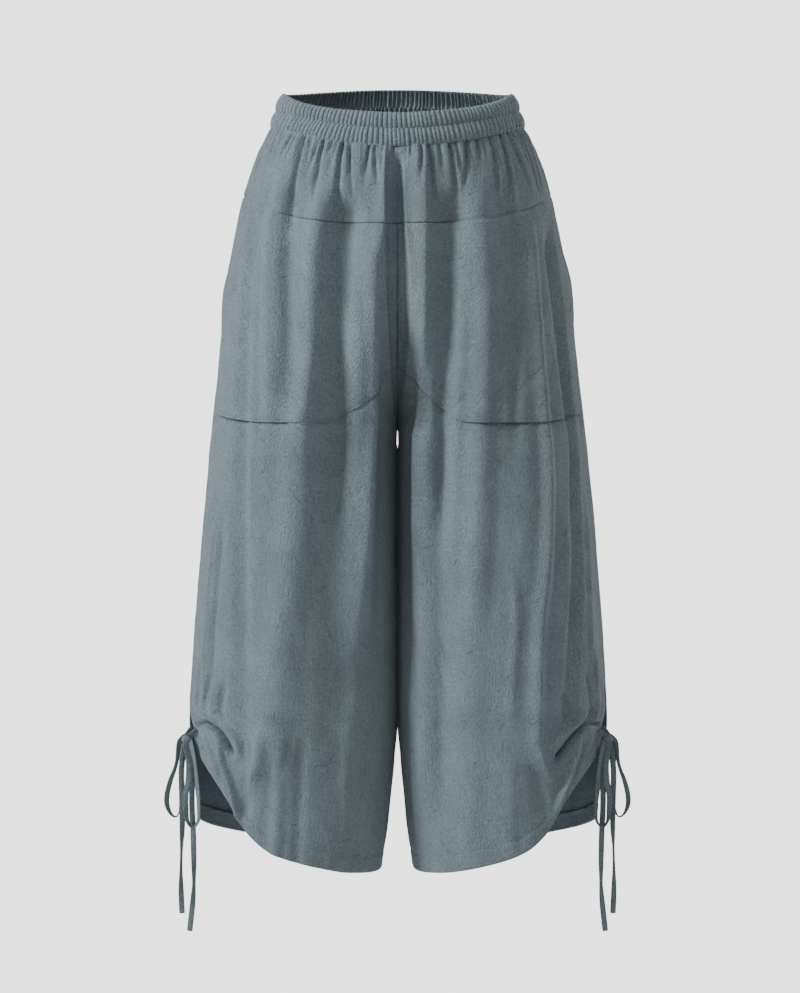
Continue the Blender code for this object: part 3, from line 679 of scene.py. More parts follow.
@dataclass(frozen=True)
class Relief:
    """Every fold, gather, crease and seam groove of one quarter of the garment."""

    quarter: Quarter
    side: Side
    seam_calm: float = 14.0
    seam_depth: float = 1.3
    centre_seam_foot: float = -392.0
    hip_bulge: float = 1.4
    mouth_top: float = -150.0
    mouth_foot: float = -262.0
    vent_top: float = -668.0
    usual_arc: float = 300.0
    fold_fades: tuple[float, float] = (50.0, 110.0)
    small_creases: int = 70
    crease_levels: tuple[float, float] = (-840.0, -120.0)
    crease_lengths: tuple[float, float] = (25.0, 90.0)
    crease_half_widths: tuple[float, float] = (3.6, 8.0)
    crease_heights: tuple[float, float] = (0.35, 1.0)
    fine_gathers: int = 25
    fine_reaches: tuple[float, float] = (16.0, 52.0)
    fine_widths: tuple[float, float] = (1.7, 2.7)
    fine_depths: tuple[float, float] = (1.5, 3.2)
    gathers_foot: float = -135.0
    gather_puff: float = 1.3
    pinch: float = 0.55
    leg_press: float = 1.6
    press_top: float = -373.0
    press_foot: float = -735.0
    hip_hollow: float = 3.2
    strip_top: float = -24.0
    strip_foot: float = -185.0

    @property
    def seed(self) -> int:
        """Start of this quarter's own random draws."""
        return 40 + 2 * self.quarter.value + self.side.value

    def crease_height(self, crease: Crease, across: Array, level: Array) -> Array:
        """Height of one crease at each place.

        Args:
            crease: The crease.
            across: Millimetres round from the centre.
            level: Levels.

        Returns:
            Heights in millimetres.
        """
        arounds, levels = np.array(crease.places).T
        path = np.stack([arounds * FORM.arc(levels, self.quarter), levels], axis=-1)
        steps = np.diff(path, axis=0)
        lengths = np.hypot(*steps.T)
        total = lengths.sum()
        nearest = np.full(level.shape, np.inf)
        flank = np.zeros(level.shape)
        travelled = np.zeros(level.shape)
        before = 0.0
        for start, step, length in zip(path, steps, lengths):
            share = ((across - start[0]) * step[0] + (level - start[1]) * step[1]) / length ** 2
            share = np.clip(share, 0.0, 1.0)
            off_x = across - start[0] - share * step[0]
            off_y = level - start[1] - share * step[1]
            distance = np.hypot(off_x, off_y)
            closer = distance < nearest
            nearest = np.where(closer, distance, nearest)
            flank = np.where(closer, np.sign(off_x * step[1] - off_y * step[0]), flank)
            travelled = np.where(closer, (before + share * length) / total, travelled)
            before += length
        strength = ease(4 * travelled) * ease(3 * (1 - travelled))
        width = crease.half_width * (1 + crease.lean * flank)
        return crease.height * strength * swell(nearest / width)

    def fold_height(self, fold: Fold, across: Array, level: Array) -> Array:
        """Height of one long fold at each place.

        Args:
            fold: The fold.
            across: Millimetres round from the centre.
            level: Levels.

        Returns:
            Heights in millimetres.
        """
        route = SizeTable([FoldPlace(place[1], place[0]) for place in reversed(fold.places)])
        foot, top = route.places[0], route.places[-1]
        off = across - FORM.across_at(route.at("x", level), level, self.quarter)
        top_fade, foot_fade = self.fold_fades
        strength = (ease((top - level) / min(top_fade, 0.25 * (top - foot)))
                    * ease((level - foot) / min(foot_fade, 0.35 * (top - foot))))
        width = fold.half_width * (1 - fold.lean * np.sign(off))
        return fold.height * strength * swell(off / width)

    def hip_strip(self, level: Array, around: Array) -> Array:
        """How far the strip behind the pocket mouth sinks, and the fold above it."""
        arc = FORM.arc(level, self.quarter)
        mouth = FORM.mouth_around(level)
        beyond = (around - mouth) * arc
        shut = ease((level - self.strip_foot) / 30.0) * ease((self.strip_top - level) / 20.0)
        share = np.clip((1 - around) / np.clip(1 - mouth, 0.02, None), 0.0, 1.0)
        return self.hip_hollow * shut * share ** 0.7 * ease((beyond + 2.0) / 3.5)

    def random_creases(self) -> list[Crease]:
        """Small creases of worn linen, each a short bent line, scattered over the quarter."""
        draw = np.random.default_rng(self.seed)
        creases = []
        for _ in range(self.small_creases):
            around = draw.uniform(0.05, 0.95)
            level = draw.uniform(*self.crease_levels)
            length = draw.uniform(*self.crease_lengths)
            slope = draw.normal(0.0, 0.45)
            bend = draw.normal(0.0, 0.12)
            half_width = draw.uniform(*self.crease_half_widths)
            height = draw.choice([-1.0, 1.0]) * draw.uniform(*self.crease_heights)
            places = []
            for share in (-0.5, 0.0, 0.5):
                drift = math.sin(slope) * share + bend * (0.25 - share * share)
                places.append((around + drift * length / self.usual_arc,
                               level + math.cos(slope) * share * length))
            creases.append(Crease(half_width, height, 0.0, tuple(places)))
        return creases

    def mouth_lift(self, level: Array, around: Array) -> Array:
        """Share of lift near the pocket mouth, 1 where it stands furthest from the hip."""
        down = np.clip((self.mouth_top - level) / (self.mouth_top - self.mouth_foot), 0.0, 1.0)
        return np.sin(math.pi * down) ** 2 * ease((around - 0.8) / 0.17)

    def centre_fold(self, level: Array, across: Array) -> Array:
        """Depth of the pleat that hides the centre-front seam.

        Args:
            level: Levels.
            across: Millimetres round from the centre.

        Returns:
            Heights in millimetres.
        """
        sizes = SizeTable(CENTRE_FOLDS[self.side])
        flank = (across - sizes.at("floor", level)) / sizes.at("flank", level)
        return -sizes.at("depth", level) * (1 - ease(flank))

    def gathers(self, level: Array, around: Array, arc: Array) -> Array:
        """Puffs and tucks that the band draws into the top of the yoke.

        Args:
            level: Levels.
            around: Places round.
            arc: Length round the quarter at each place.

        Returns:
            Heights in millimetres.
        """
        below = BAND_FOOT - level
        lift = np.zeros_like(level)
        draw = np.random.default_rng(self.seed + 7)
        fine = []
        for number in range(self.fine_gathers):
            top = (number + draw.uniform(0.15, 0.85)) / self.fine_gathers
            foot = BAND_FOOT - draw.uniform(*self.fine_reaches)
            width = draw.uniform(*self.fine_widths)
            fine.append(Gather(top, top + draw.normal(0.0, 0.012), foot, width, 1.6 * width,
                               draw.uniform(*self.fine_depths)))
        for gather in GATHERS[self.quarter, self.side] + tuple(fine):
            down = below / (BAND_FOOT - gather.foot_level)
            middle = gather.top_around + (gather.foot_around - gather.top_around) * down
            width = gather.top_width + (gather.foot_width - gather.top_width) * down
            off = (around - middle) * arc / np.clip(width, 1.0, None)
            line = swell(off / 0.4) * ease(1 - 1.6 * down)
            strength = ease(1.7 * (1 - down)) * (0.45 + 0.55 * ease(below / 4.0))
            lift -= gather.depth * strength * (swell(off) + self.pinch * line)
        puff = ease(below / 9.0) * ease(1.3 - below / 70.0)
        lumps = SoftNoise(self.seed + 11, 13.0, 60.0, 0.45).at(around * arc, -level + 60.0)
        return lift + self.gather_puff * puff * (0.75 + lumps) - 0.8 * (1 - ease(below / 3.0))

    def seam_groove(self, distance: Array, along: Array, depth: float) -> Array:
        """Groove of a sewn seam, with small puckers beside it.

        Args:
            distance: Millimetres from the seam.
            along: Millimetres along it.
            depth: Depth of the groove in millimetres.

        Returns:
            Heights in millimetres.
        """
        pucker = SoftNoise(self.seed + 23, 5.5, 400.0, 0.35).at(along, np.zeros_like(along))
        return -depth * swell(distance / 4.0) + pucker * swell(distance / 13.0)

    def at(self, level: Array, around: Array) -> Array:
        """How far the cloth stands out of the plain surface.

        Args:
            level: Levels.
            around: Places round.

        Returns:
            Heights in millimetres.
        """
        quarter, side = self.quarter, self.side
        arc = FORM.arc(level, quarter)
        across = around * arc
        lift = np.zeros_like(level)
        for fold in LONG_FOLDS[quarter, side]:
            lift += self.fold_height(fold, across, level)
        for crease in self.random_creases():
            lift += self.crease_height(crease, across, level)
        inward = np.clip(across, 0.0, None)
        down = 60.0 - level
        for number, hills in enumerate(SOFT_HILLS, 1):
            lift += SoftNoise(self.seed + number, *hills).at(inward, down)
        sewn = ease((level - self.vent_top) / 30.0)
        to_side = np.clip(arc - across, 0.0, None)
        lift *= ease(inward / 8.0)
        lift *= 1 - sewn * (1 - ease(to_side / self.seam_calm))
        if quarter is Quarter.FRONT:
            for crease in CORNER_CREASES[side]:
                lift += self.crease_height(crease, across, level)
            lift += self.centre_fold(level, inward)
            lift += self.crease_height(INSEAM_LINES[side], across, level)
        pressed = ease((self.press_top - level) / 9.0) * ease((level - self.press_foot) / 40.0)
        lift += self.leg_press * pressed * swell(inward / 10.0)
        lift += self.hip_bulge * self.mouth_lift(level, around)
        gathers = self.gathers(level, around, arc)
        lift += np.where(level > self.gathers_foot, gathers, 0.0)
        lift += sewn * self.seam_groove(to_side, down, self.seam_depth)
        joined = ease((level - self.centre_seam_foot) / 20.0)
        lift += joined * self.seam_groove(inward, down, self.seam_depth)
        return lift


# ---------------------------------------------------------------- nodes and objects
@dataclass(frozen=True)
class NodeBoard:
    """A node tree, with short ways to add nodes and to join them."""

    tree: bpy.types.NodeTree
    shade_spread: float = 0.2

    def add(self, kind: str, inputs: dict[str | int, object] | None = None,
            **settings: str) -> bpy.types.Node:
        """Add one node.

        Args:
            kind: The node's type.
            inputs: What feeds its inputs, by name or number.
            settings: The node's own settings.

        Returns:
            The node.
        """
        node = self.tree.nodes.new(kind)
        for name, value in settings.items():
            setattr(node, name, value)
        self.feed(node, inputs or {})
        return node

    def feed(self, node: bpy.types.Node, inputs: dict[str | int, object]) -> None:
        """Give a node's inputs their values, or join the sockets that feed them."""
        for name, value in inputs.items():
            if isinstance(value, bpy.types.NodeSocket):
                self.tree.links.new(value, node.inputs[name])
            else:
                node.inputs[name].default_value = value

    def math(self, operation: str, *values: bpy.types.NodeSocket | float) -> bpy.types.NodeSocket:
        """Add one arithmetic node, and give the socket with its result."""
        inputs = dict(enumerate(values))
        return self.add("ShaderNodeMath", inputs, operation=operation).outputs[0]

    def shades(self, amount: bpy.types.NodeSocket, colour: tuple[float, float, float],
               reach: tuple[float, float]) -> bpy.types.NodeSocket:
        """Add darker to lighter shades of a colour.

        Args:
            amount: Socket that picks the shade.
            colour: The middle shade.
            reach: The amounts that give the darkest and the lightest shade.

        Returns:
            The socket with the shade.
        """
        ramp = self.add("ShaderNodeValToRGB", {"Fac": amount})
        changes = (1 - self.shade_spread, 1 + self.shade_spread)
        for element, place, change in zip(ramp.color_ramp.elements, reach, changes):
            element.position = place
            element.color = (*[part * change for part in colour], 1.0)
        return ramp.outputs["Color"]


def new_material(name: str) -> tuple[bpy.types.Material, NodeBoard, bpy.types.Node]:
    """Make a material, and give it with its nodes and its shader."""
    material = bpy.data.materials.new(name)
    material.use_nodes = True
    return (material, NodeBoard(material.node_tree),
            material.node_tree.nodes["Principled BSDF"])


def new_object(name: str, data: bpy.types.ID) -> bpy.types.Object:
    """Put a new object with this data into the scene."""
    made = bpy.data.objects.new(name, data)
    bpy.context.scene.collection.objects.link(made)
    return made


def new_mesh(name: str, built: bmesh.types.BMesh) -> bpy.types.Mesh:
    """Keep a built mesh under a name, and free the one it was built in."""
    data = bpy.data.meshes.new(name)
    built.to_mesh(data)
    built.free()
    return data


# ---------------------------------------------------------------- finishes
@dataclass(frozen=True)
class ThreadWeave:
    """How the crinkled linen-cotton looks close to: sizes in millimetres."""

    crepe_width: float = 1.2
    crepe_length: float = 3.6
    crepe_angle: float = -35.0
    line_size: float = 30.0
    line_width: float = 0.014
    line_depth: float = 0.7
    line_angle: float = 24.0
    spot_angle: float = -40.0
    crinkle_size: float = 9.0
    crinkle_angle: float = -18.0
    slub_width: float = 0.7
    slub_length: float = 26.0
    mottle_size: float = 34.0


@dataclass(frozen=True)
class ClothFinish:
    """Matt crinkled linen-cotton in one colour."""

    name: str
    colour: tuple[float, float, float]
    mottle: float = 0.05
    slub: float = 0.07
    crepe_depth: float = 2.5
    crinkle_depth: float = 0.6
    roughness: tuple[float, float] = (0.84, 0.98)
    specular: float = 0.25
    sheen: float = 0.12
    sheen_roughness: float = 0.6
    weave: ThreadWeave = field(default_factory=ThreadWeave)

    def noise(self, board: NodeBoard, place: bpy.types.NodeSocket, sizes: tuple[float, float],
              angle: float = 0.0, detail: float = 3.0,
              distortion: float = 0.0) -> bpy.types.NodeSocket:
        """Add a noise of its own width and length on the cloth.

        Args:
            board: The material's nodes.
            place: Socket with the place on the cloth in metres.
            sizes: Width and length of the noise in millimetres.
            angle: Degrees by which it is turned.
            detail: How many finer layers it has.
            distortion: How much it wanders.

        Returns:
            The socket with the noise, about 0.5.
        """
        mapping = board.add("ShaderNodeMapping", {
            "Vector": place, "Rotation": (0.0, 0.0, math.radians(angle)),
            "Scale": (sizes[0] * MM, sizes[1] * MM, 1.0)}, vector_type="TEXTURE")
        texture = board.add("ShaderNodeTexNoise", {
            "Vector": mapping.outputs["Vector"], "Scale": 1.0, "Detail": detail,
            "Distortion": distortion})
        return texture.outputs["Fac"]

    def make(self) -> bpy.types.Material:
        """Build the material.

        Returns:
            The new material.
        """
        material, board, shader = new_material(self.name)
        place = board.add("ShaderNodeUVMap", uv_map=UV_NAME).outputs["UV"]
        weave = self.weave
        mottle = self.noise(board, place, (weave.mottle_size, weave.mottle_size * 1.6))
        slub = self.noise(board, place, (weave.slub_width, weave.slub_length), detail=2.0)
        weft = self.noise(board, place, (weave.slub_length, weave.slub_width), detail=2.0)
        crepe = self.noise(board, place, (weave.crepe_width, weave.crepe_length),
                           weave.crepe_angle, 2.0, 0.5)
        crinkle = self.noise(board, place, (weave.crinkle_size, weave.crinkle_size * 1.7),
                             weave.crinkle_angle, 4.0, 1.2)
        shade = self.mixed(board, ((mottle, self.mottle), (slub, self.slub),
                                   (weft, self.slub * 0.5), (crepe, self.slub * 1.8)))
        rough = board.add("ShaderNodeMapRange", {
            "Value": crepe, "To Min": self.roughness[0], "To Max": self.roughness[1]})
        normal = None
        lines = self.crease_lines(board, place)
        for height, depth in ((crinkle, self.crinkle_depth), (lines, weave.line_depth),
                              (crepe, self.crepe_depth), (slub, self.crepe_depth * 0.2)):
            inputs = {"Strength": 1.0, "Distance": depth * MM, "Height": height}
            if normal is not None:
                inputs["Normal"] = normal
            normal = board.add("ShaderNodeBump", inputs).outputs["Normal"]
        board.feed(shader, {
            "Base Color": board.shades(shade, self.colour, (0.30, 0.70)),
            "Roughness": rough.outputs["Result"], "Normal": normal, "Metallic": 0.0,
            "Specular IOR Level": self.specular, "Sheen Weight": self.sheen,
            "Sheen Roughness": self.sheen_roughness})
        return material

    def crease_lines(self, board: NodeBoard, place: bpy.types.NodeSocket) -> bpy.types.NodeSocket:
        """Add sparse sharp crease lines, where a soft noise passes its middle value.

        Args:
            board: The material's nodes.
            place: Socket with the place on the cloth in metres.

        Returns:
            The socket with the lines, 1 on a line and 0 off it.
        """
        weave, size = self.weave, self.weave.line_size
        course = self.noise(board, place, (size, size * 1.3), weave.line_angle, 1.0, 0.6)
        spots = self.noise(board, place, (size * 0.55, size * 0.8), weave.spot_angle, 0.0)
        distance = board.math("ABSOLUTE", board.math("SUBTRACT", course, 0.5))
        near = board.add("ShaderNodeMapRange", {
            "Value": distance, "From Min": weave.line_width, "From Max": 0.0},
            interpolation_type="SMOOTHSTEP")
        present = board.add("ShaderNodeMapRange", {
            "Value": spots, "From Min": 0.56, "From Max": 0.64},
            interpolation_type="SMOOTHSTEP")
        return board.math("MULTIPLY", near.outputs["Result"], present.outputs["Result"])

    def mixed(self, board: NodeBoard,
              parts: Sequence[tuple[bpy.types.NodeSocket, float]]) -> bpy.types.NodeSocket:
        """Add noises together round 0.5, each with its own weight.

        Args:
            board: The material's nodes.
            parts: Each noise's socket and its weight.

        Returns:
            The socket with the sum.
        """
        total = 0.5 - 5 * sum(weight for _, weight in parts)
        for socket, weight in parts:
            total = board.math("MULTIPLY_ADD", socket, 10 * weight, total)
        return total


@dataclass(frozen=True)
class ThreadFinish:
    """Sewing thread, twisted and a little glossy."""

    name: str
    colour: tuple[float, float, float]
    twist_size: float = 0.5
    twist_depth: float = 0.1
    roughness: float = 0.6

    def make(self) -> bpy.types.Material:
        """Build the material.

        Returns:
            The new material.
        """
        material, board, shader = new_material(self.name)
        place = board.add("ShaderNodeTexCoord").outputs["Object"]
        twist = board.add("ShaderNodeTexNoise", {
            "Vector": place, "Scale": 1 / (self.twist_size * MM)}).outputs["Fac"]
        bump = board.add("ShaderNodeBump", {
            "Height": twist, "Distance": self.twist_depth * MM})
        board.feed(shader, {
            "Base Color": board.shades(twist, self.colour, (0.0, 1.0)),
            "Normal": bump.outputs["Normal"], "Roughness": self.roughness})
        return material


CLOTH = ClothFinish("crinkled_cloth", (0.165, 0.222, 0.252))
POCKET_CLOTH = ClothFinish("pocket_cloth", (0.168, 0.226, 0.256))
# The band is the same cloth as the legs, with its colour made about 6% lighter. This is painted
# light, standing in for the extra light on the band's upward-facing ruffles.
BAND_CLOTH_PAINTED_LIGHT = ClothFinish("band_cloth", (0.176, 0.237, 0.267), crinkle_depth=0.2)
TIE_CLOTH = ClothFinish("tie_cloth", (0.142, 0.194, 0.213), mottle=0.06, crinkle_depth=0.3)
THREAD = ThreadFinish("sewing_thread", (0.150, 0.203, 0.224))


# ---------------------------------------------------------------- meshes
@dataclass
class Workroom:
    """Turns grids of points into pieces and tells the frame about them."""

    materials: dict[str, bpy.types.Material] = field(default_factory=dict)

    def material(self, finish: ClothFinish | ThreadFinish) -> bpy.types.Material:
        """A finish's material, made once."""
        if finish.name not in self.materials:
            self.materials[finish.name] = finish.make()
        return self.materials[finish.name]

    def sheet(self, name: str, points: Array, places: Array, wall: float, facing_in: bool,
              finish: ClothFinish) -> bpy.types.Object:
        """Make a sheet of cloth through a grid of points.

        Args:
            name: The piece's name.
            points: Rows and columns of points in millimetres.
            places: Each point's place on the flat cloth in millimetres.
            wall: Thickness of the cloth in millimetres.
            facing_in: Whether the grid's own faces would point into the garment.
            finish: The finish.

        Returns:
            The piece.
        """
        rows, columns = points.shape[:2]
        grid = bmesh.new()
        bmesh.ops.create_grid(grid, x_segments=columns - 1, y_segments=rows - 1, size=0.5)
        data = new_mesh(name, grid)
        data.vertices.foreach_set("co", (points * MM).reshape(-1))
        corner = np.empty(len(data.loops), dtype=np.int32)
        data.loops.foreach_get("vertex_index", corner)
        flat = (places * MM).reshape(-1, 2)[corner]
        data.uv_layers.new(name=UV_NAME).data.foreach_set("uv", flat.reshape(-1))
        if facing_in:
            data.flip_normals()
        data.shade_smooth()
        data.update()
        piece = self.add(name, data, finish)
        thick = piece.modifiers.new("wall", "SOLIDIFY")
        thick.thickness = wall * MM
        thick.offset = -1.0
        thick.use_rim = True
        return piece

    def tube(self, name: str, rings: Array, finish: ClothFinish) -> bpy.types.Object:
        """Make a closed tube with filled ends through rings of points.

        Args:
            name: The piece's name.
            rings: Rings of points in millimetres, along the tube.
            finish: The finish.

        Returns:
            The piece.
        """
        count, sides = rings.shape[:2]
        closed = np.concatenate([rings, rings[:, :1]], axis=1) * MM
        along, round_it = travel(closed.mean(axis=1)), travel(closed[0])
        mesh = bmesh.new()
        made = bmesh.ops.create_grid(mesh, x_segments=sides, y_segments=count - 1, size=0.5)
        uv_layer = mesh.loops.layers.uv.new(UV_NAME)
        spots = {}
        for index, vert in enumerate(made["verts"]):
            row, column = divmod(index, sides + 1)
            vert.co = closed[row, column]
            spots[vert] = (round_it[column], along[row])
        for face in mesh.faces:
            for loop in face.loops:
                loop[uv_layer].uv = spots[loop.vert]
        bmesh.ops.remove_doubles(mesh, verts=mesh.verts[:], dist=0.001 * MM)
        bmesh.ops.holes_fill(mesh, edges=[edge for edge in mesh.edges if edge.is_boundary])
        bmesh.ops.recalc_face_normals(mesh, faces=mesh.faces[:])
        data = new_mesh(name, mesh)
        data.shade_smooth()
        return self.add(name, data, finish)

    def add(self, name: str, data: bpy.types.Mesh,
            finish: ClothFinish | ThreadFinish) -> bpy.types.Object:
        """Put a mesh into the scene with its finish, riding on the garment.

        Args:
            name: The piece's name.
            data: The mesh, with its place in it.
            finish: The finish.

        Returns:
            The piece.
        """
        piece = new_object(name, data)
        data.materials.append(self.material(finish))
        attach(piece, BODY)
        LOG.info("%s: %d faces", name, len(data.polygons))
        return piece


class Zone(NamedTuple):
    """A stretch of a grid, up to a share of its length, with the step between its points."""

    until: float
    step: float


def spread(length: float, zones: Sequence[Zone], start: Sequence[float],
           end: Sequence[float]) -> Array:
    """Shares of the way along a length, in steps that follow the zones.

    Args:
        length: The length in millimetres.
        zones: The zones, from the start to the end.
        start: Distances from the start where closer points lie, in millimetres.
        end: Distances from the end where closer points lie, in millimetres.

    Returns:
        Rising shares from 0 to 1.
    """
    fine = np.linspace(start[-1], length - end[-1], 2001)
    zone = np.searchsorted([zone.until for zone in zones[:-1]], fine / length)
    steps = np.array([zone.step for zone in zones])[zone]
    counted = np.concatenate([[0.0], np.cumsum(np.diff(fine) / steps[1:])])
    inner = np.interp(np.linspace(0.0, counted[-1], round(counted[-1]) + 1), counted, fine)
    return np.concatenate([start[:-1], inner, length - np.array(end[-2::-1])]) / length


# ---------------------------------------------------------------- cloth pieces
EDGE_STEPS = (0.0, 0.6, 1.4, 2.6)
THREAD_PROUD = 0.05
PLEAT_STEPS = (0.0, 1.0, 2.2, 3.6, 5.0, 6.4, 7.6, 8.5, 9.1, 9.6, 10.1, 10.6, 11.1, 11.6, 12.2,
               13.0, 14.2, 15.8)
PANEL_GRIDS = {
    Quarter.FRONT: {
        "columns": (Zone(0.7, 3.0), Zone(0.93, 1.7), Zone(1.0, 2.4)),
        "rows": (Zone(0.85, 3.1), Zone(0.97, 1.75), Zone(1.0, 2.2)),
    },
    Quarter.BACK: {"columns": (Zone(1.0, 3.1),), "rows": (Zone(1.0, 3.3),)},
}


@dataclass(frozen=True)
class Quarterpiece:
    """What every piece of one quarter of the garment shares."""

    quarter: Quarter
    side: Side
    wall: float = 1.5

    @property
    def relief(self) -> Relief:
        """The folds of this quarter."""
        return Relief(self.quarter, self.side)

    @property
    def pleat_columns(self) -> tuple[float, ...]:
        """Closer columns at the centre, where the front has its pleat."""
        return PLEAT_STEPS if self.quarter is Quarter.FRONT else EDGE_STEPS

    @property
    def facing_in(self) -> bool:
        """Whether a grid from the centre outward and downward has faces that point inward."""
        return (self.quarter is Quarter.FRONT) != (self.side is Side.LEFT)

    def tucked(self, level: Array, around: Array, sewn: Array | float = 1.0) -> Array:
        """Places round with the outermost columns pushed past the seams.

        Args:
            level: Levels.
            around: Places round.
            sewn: Share of the side seam that is closed, 0 along a vent.

        Returns:
            The new places round.
        """
        at_side = ease((around - 1 + TURN_UNDER) / TURN_UNDER)
        at_centre = ease((TURN_UNDER - around) / TURN_UNDER)
        reach = FORM.seam_tuck / FORM.arc(level, self.quarter)
        return around + reach * (sewn * at_side - at_centre)

    def points(self, level: Array, around: Array, lift: Array) -> Array:
        """Points of this quarter's cloth, in millimetres."""
        return FORM.points(level, around, self.quarter, self.side, lift)

    def cloth(self, room: Workroom, name: str, level: Array, around: Array, lift: Array,
              wall: float, finish: ClothFinish) -> bpy.types.Object:
        """Make a sheet on this quarter's surface.

        Args:
            room: The workroom.
            name: The piece's name.
            level: Levels.
            around: Places round.
            lift: How far each point stands out of the plain surface.
            wall: Thickness of the cloth in millimetres.
            finish: The finish.

        Returns:
            The piece.
        """
        across = around * FORM.arc(level, self.quarter)
        flat = np.stack([across * self.side.value, level], axis=-1)
        return room.sheet(name, self.points(level, around, lift), flat, wall, self.facing_in,
                          finish)


@dataclass(frozen=True)
class Panel(Quarterpiece):
    """One leg panel, from the yoke seam to the turned hem."""

    flat: tuple[float, float] = (0.345, 0.75)
    area: float = 0.235
    length: float = 740.0
    width_level: float = -600.0
    seam_depth: float = 1.0
    seam_roll: float = 0.9
    seam_overlap: float = 2.5
    foot_depth: float = 2.6
    foot_shadow: float = 0.9
    hem_turn: float = 20.0
    hem_stitch: float = 19.0
    hem_depth: float = 0.6
    hem_rise: float = 0.5
    hem_roll: float = 1.1
    hem_wall: float = 1.0

    def hem_level(self, around: Array) -> Array:
        """Level of the hem at each place round."""
        return seam_level(HEM_LINES[self.quarter], around)

    def grid(self) -> tuple[Array, Array]:
        """Levels and places round of the panel's points, rows from the seam down.

        Returns:
            The levels and the places round.
        """
        width = float(FORM.arc(np.array(self.width_level), self.quarter))
        zones = PANEL_GRIDS[self.quarter]
        columns = spread(width, zones["columns"], self.pleat_columns, EDGE_STEPS)
        rows = spread(self.length, zones["rows"], EDGE_STEPS, EDGE_STEPS)
        around = np.broadcast_to(columns, (len(rows), len(columns))).copy()
        top = seam_level(YOKE_SEAM, np.clip(around, 0, 1)) + self.seam_overlap
        hem = self.hem_level(np.clip(around, 0, 1))
        level = top + (hem - top) * rows[:, None]
        sewn = ease((level - self.relief.vent_top) / 10.0)
        return level, self.tucked(level, around, sewn)

    def lift(self, level: Array, around: Array) -> Array:
        """Folds, the seam grooves, the turned hem and the corner at the vent.

        Args:
            level: Levels.
            around: Places round.

        Returns:
            Heights in millimetres.
        """
        inside = np.clip(around, 0.0, 1.0)
        relief = self.relief
        lift = relief.at(level, inside)
        arc = FORM.arc(level, self.quarter)
        across = inside * arc
        above_hem = level - self.hem_level(inside)
        below_seam = seam_level(YOKE_SEAM, inside) - level
        lift += relief.seam_groove(below_seam, across, self.seam_depth)
        lift -= self.seam_roll * (1 - ease((below_seam + self.seam_overlap) / 3.0))
        if self.quarter is Quarter.FRONT:
            lift -= relief.hip_strip(level, inside)
            below_foot = seam_level(POCKET_FOOT, inside) - level
            lift += relief.seam_groove(below_foot - self.foot_shadow, across, self.foot_depth)
        lift += relief.seam_groove(self.hem_stitch - above_hem, across, self.hem_depth)
        lift += self.hem_rise * ease((self.hem_turn - above_hem) / 3.0)
        lift -= self.hem_roll * (1 - ease(above_hem / 1.6))
        return lift

    def build(self, room: Workroom) -> bpy.types.Object:
        """Make the panel.

        Args:
            room: The workroom.

        Returns:
            The piece.
        """
        node = f"{self.quarter.word}_panel_{self.side.word}"
        level, around = self.grid()
        piece = self.cloth(room, f"{node}_cloth", level, around, self.lift(level, around),
                           self.wall, CLOTH)
        turn = self.hem_strip(room)
        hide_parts(node)
        return piece

    def hem_stitches(self) -> Array:
        """Line of the stitches that hold the turned hem."""
        around = np.linspace(0.012, 0.985, 500)
        level = self.hem_level(around) + self.hem_stitch
        return self.points(level, around, self.lift(level, around) + THREAD_PROUD)

    def hem_strip(self, room: Workroom) -> bpy.types.Object:
        """Make the edge of the cloth that is turned up inside.

        Args:
            room: The workroom.

        Returns:
            The strip.
        """
        around = np.linspace(0.004, 0.996, 150)
        drop = np.linspace(1.0, 0.02, 8)[:, None] * self.hem_turn
        around = np.broadcast_to(around, (len(drop), around.size))
        level = self.hem_level(around) + drop
        lift = self.lift(level, around) - self.wall - 0.25
        strip = self.cloth(room, f"{self.quarter.word}_hem_{self.side.word}", level, around,
                           lift, self.hem_wall, CLOTH)
        return strip


@dataclass(frozen=True)
class Yoke(Quarterpiece):
    """One gathered hip yoke, from the band to the yoke seam."""

    step: float = 1.75
    length: float = 98.0
    width_level: float = -80.0
    top: float = -17.0
    seam_depth: float = 0.5
    seam_roll: float = 0.7
    flat: tuple[float, float] = (0.245, 0.104)

    def build(self, room: Workroom) -> bpy.types.Object:
        """Make the yoke.

        Args:
            room: The workroom.

        Returns:
            The piece.
        """
        node = f"{self.quarter.word}_yoke_{self.side.word}"
        width = float(FORM.arc(np.array(self.width_level), self.quarter))
        columns = spread(width, (Zone(1.0, self.step),), self.pleat_columns, EDGE_STEPS)
        rows = spread(self.length, (Zone(0.5, 1.7), Zone(1.0, 2.3)), EDGE_STEPS, EDGE_STEPS)
        around = np.broadcast_to(columns, (len(rows), len(columns))).copy()
        seam = seam_level(YOKE_SEAM, around)
        level = self.top + (seam - self.top) * rows[:, None]
        arc = FORM.arc(level, self.quarter)
        relief = self.relief
        lift = relief.at(level, around)
        above_seam = level - seam
        if self.quarter is Quarter.FRONT:
            lift -= relief.hip_strip(level, around)
        lift += relief.seam_groove(above_seam, around * arc, self.seam_depth)
        lift += 0.2 - self.seam_roll * (1 - ease(above_seam / 1.4))
        around = self.tucked(level, around)
        piece = self.cloth(room, f"{node}_cloth", level, around, lift, self.wall, CLOTH)
        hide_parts(node)
        return piece


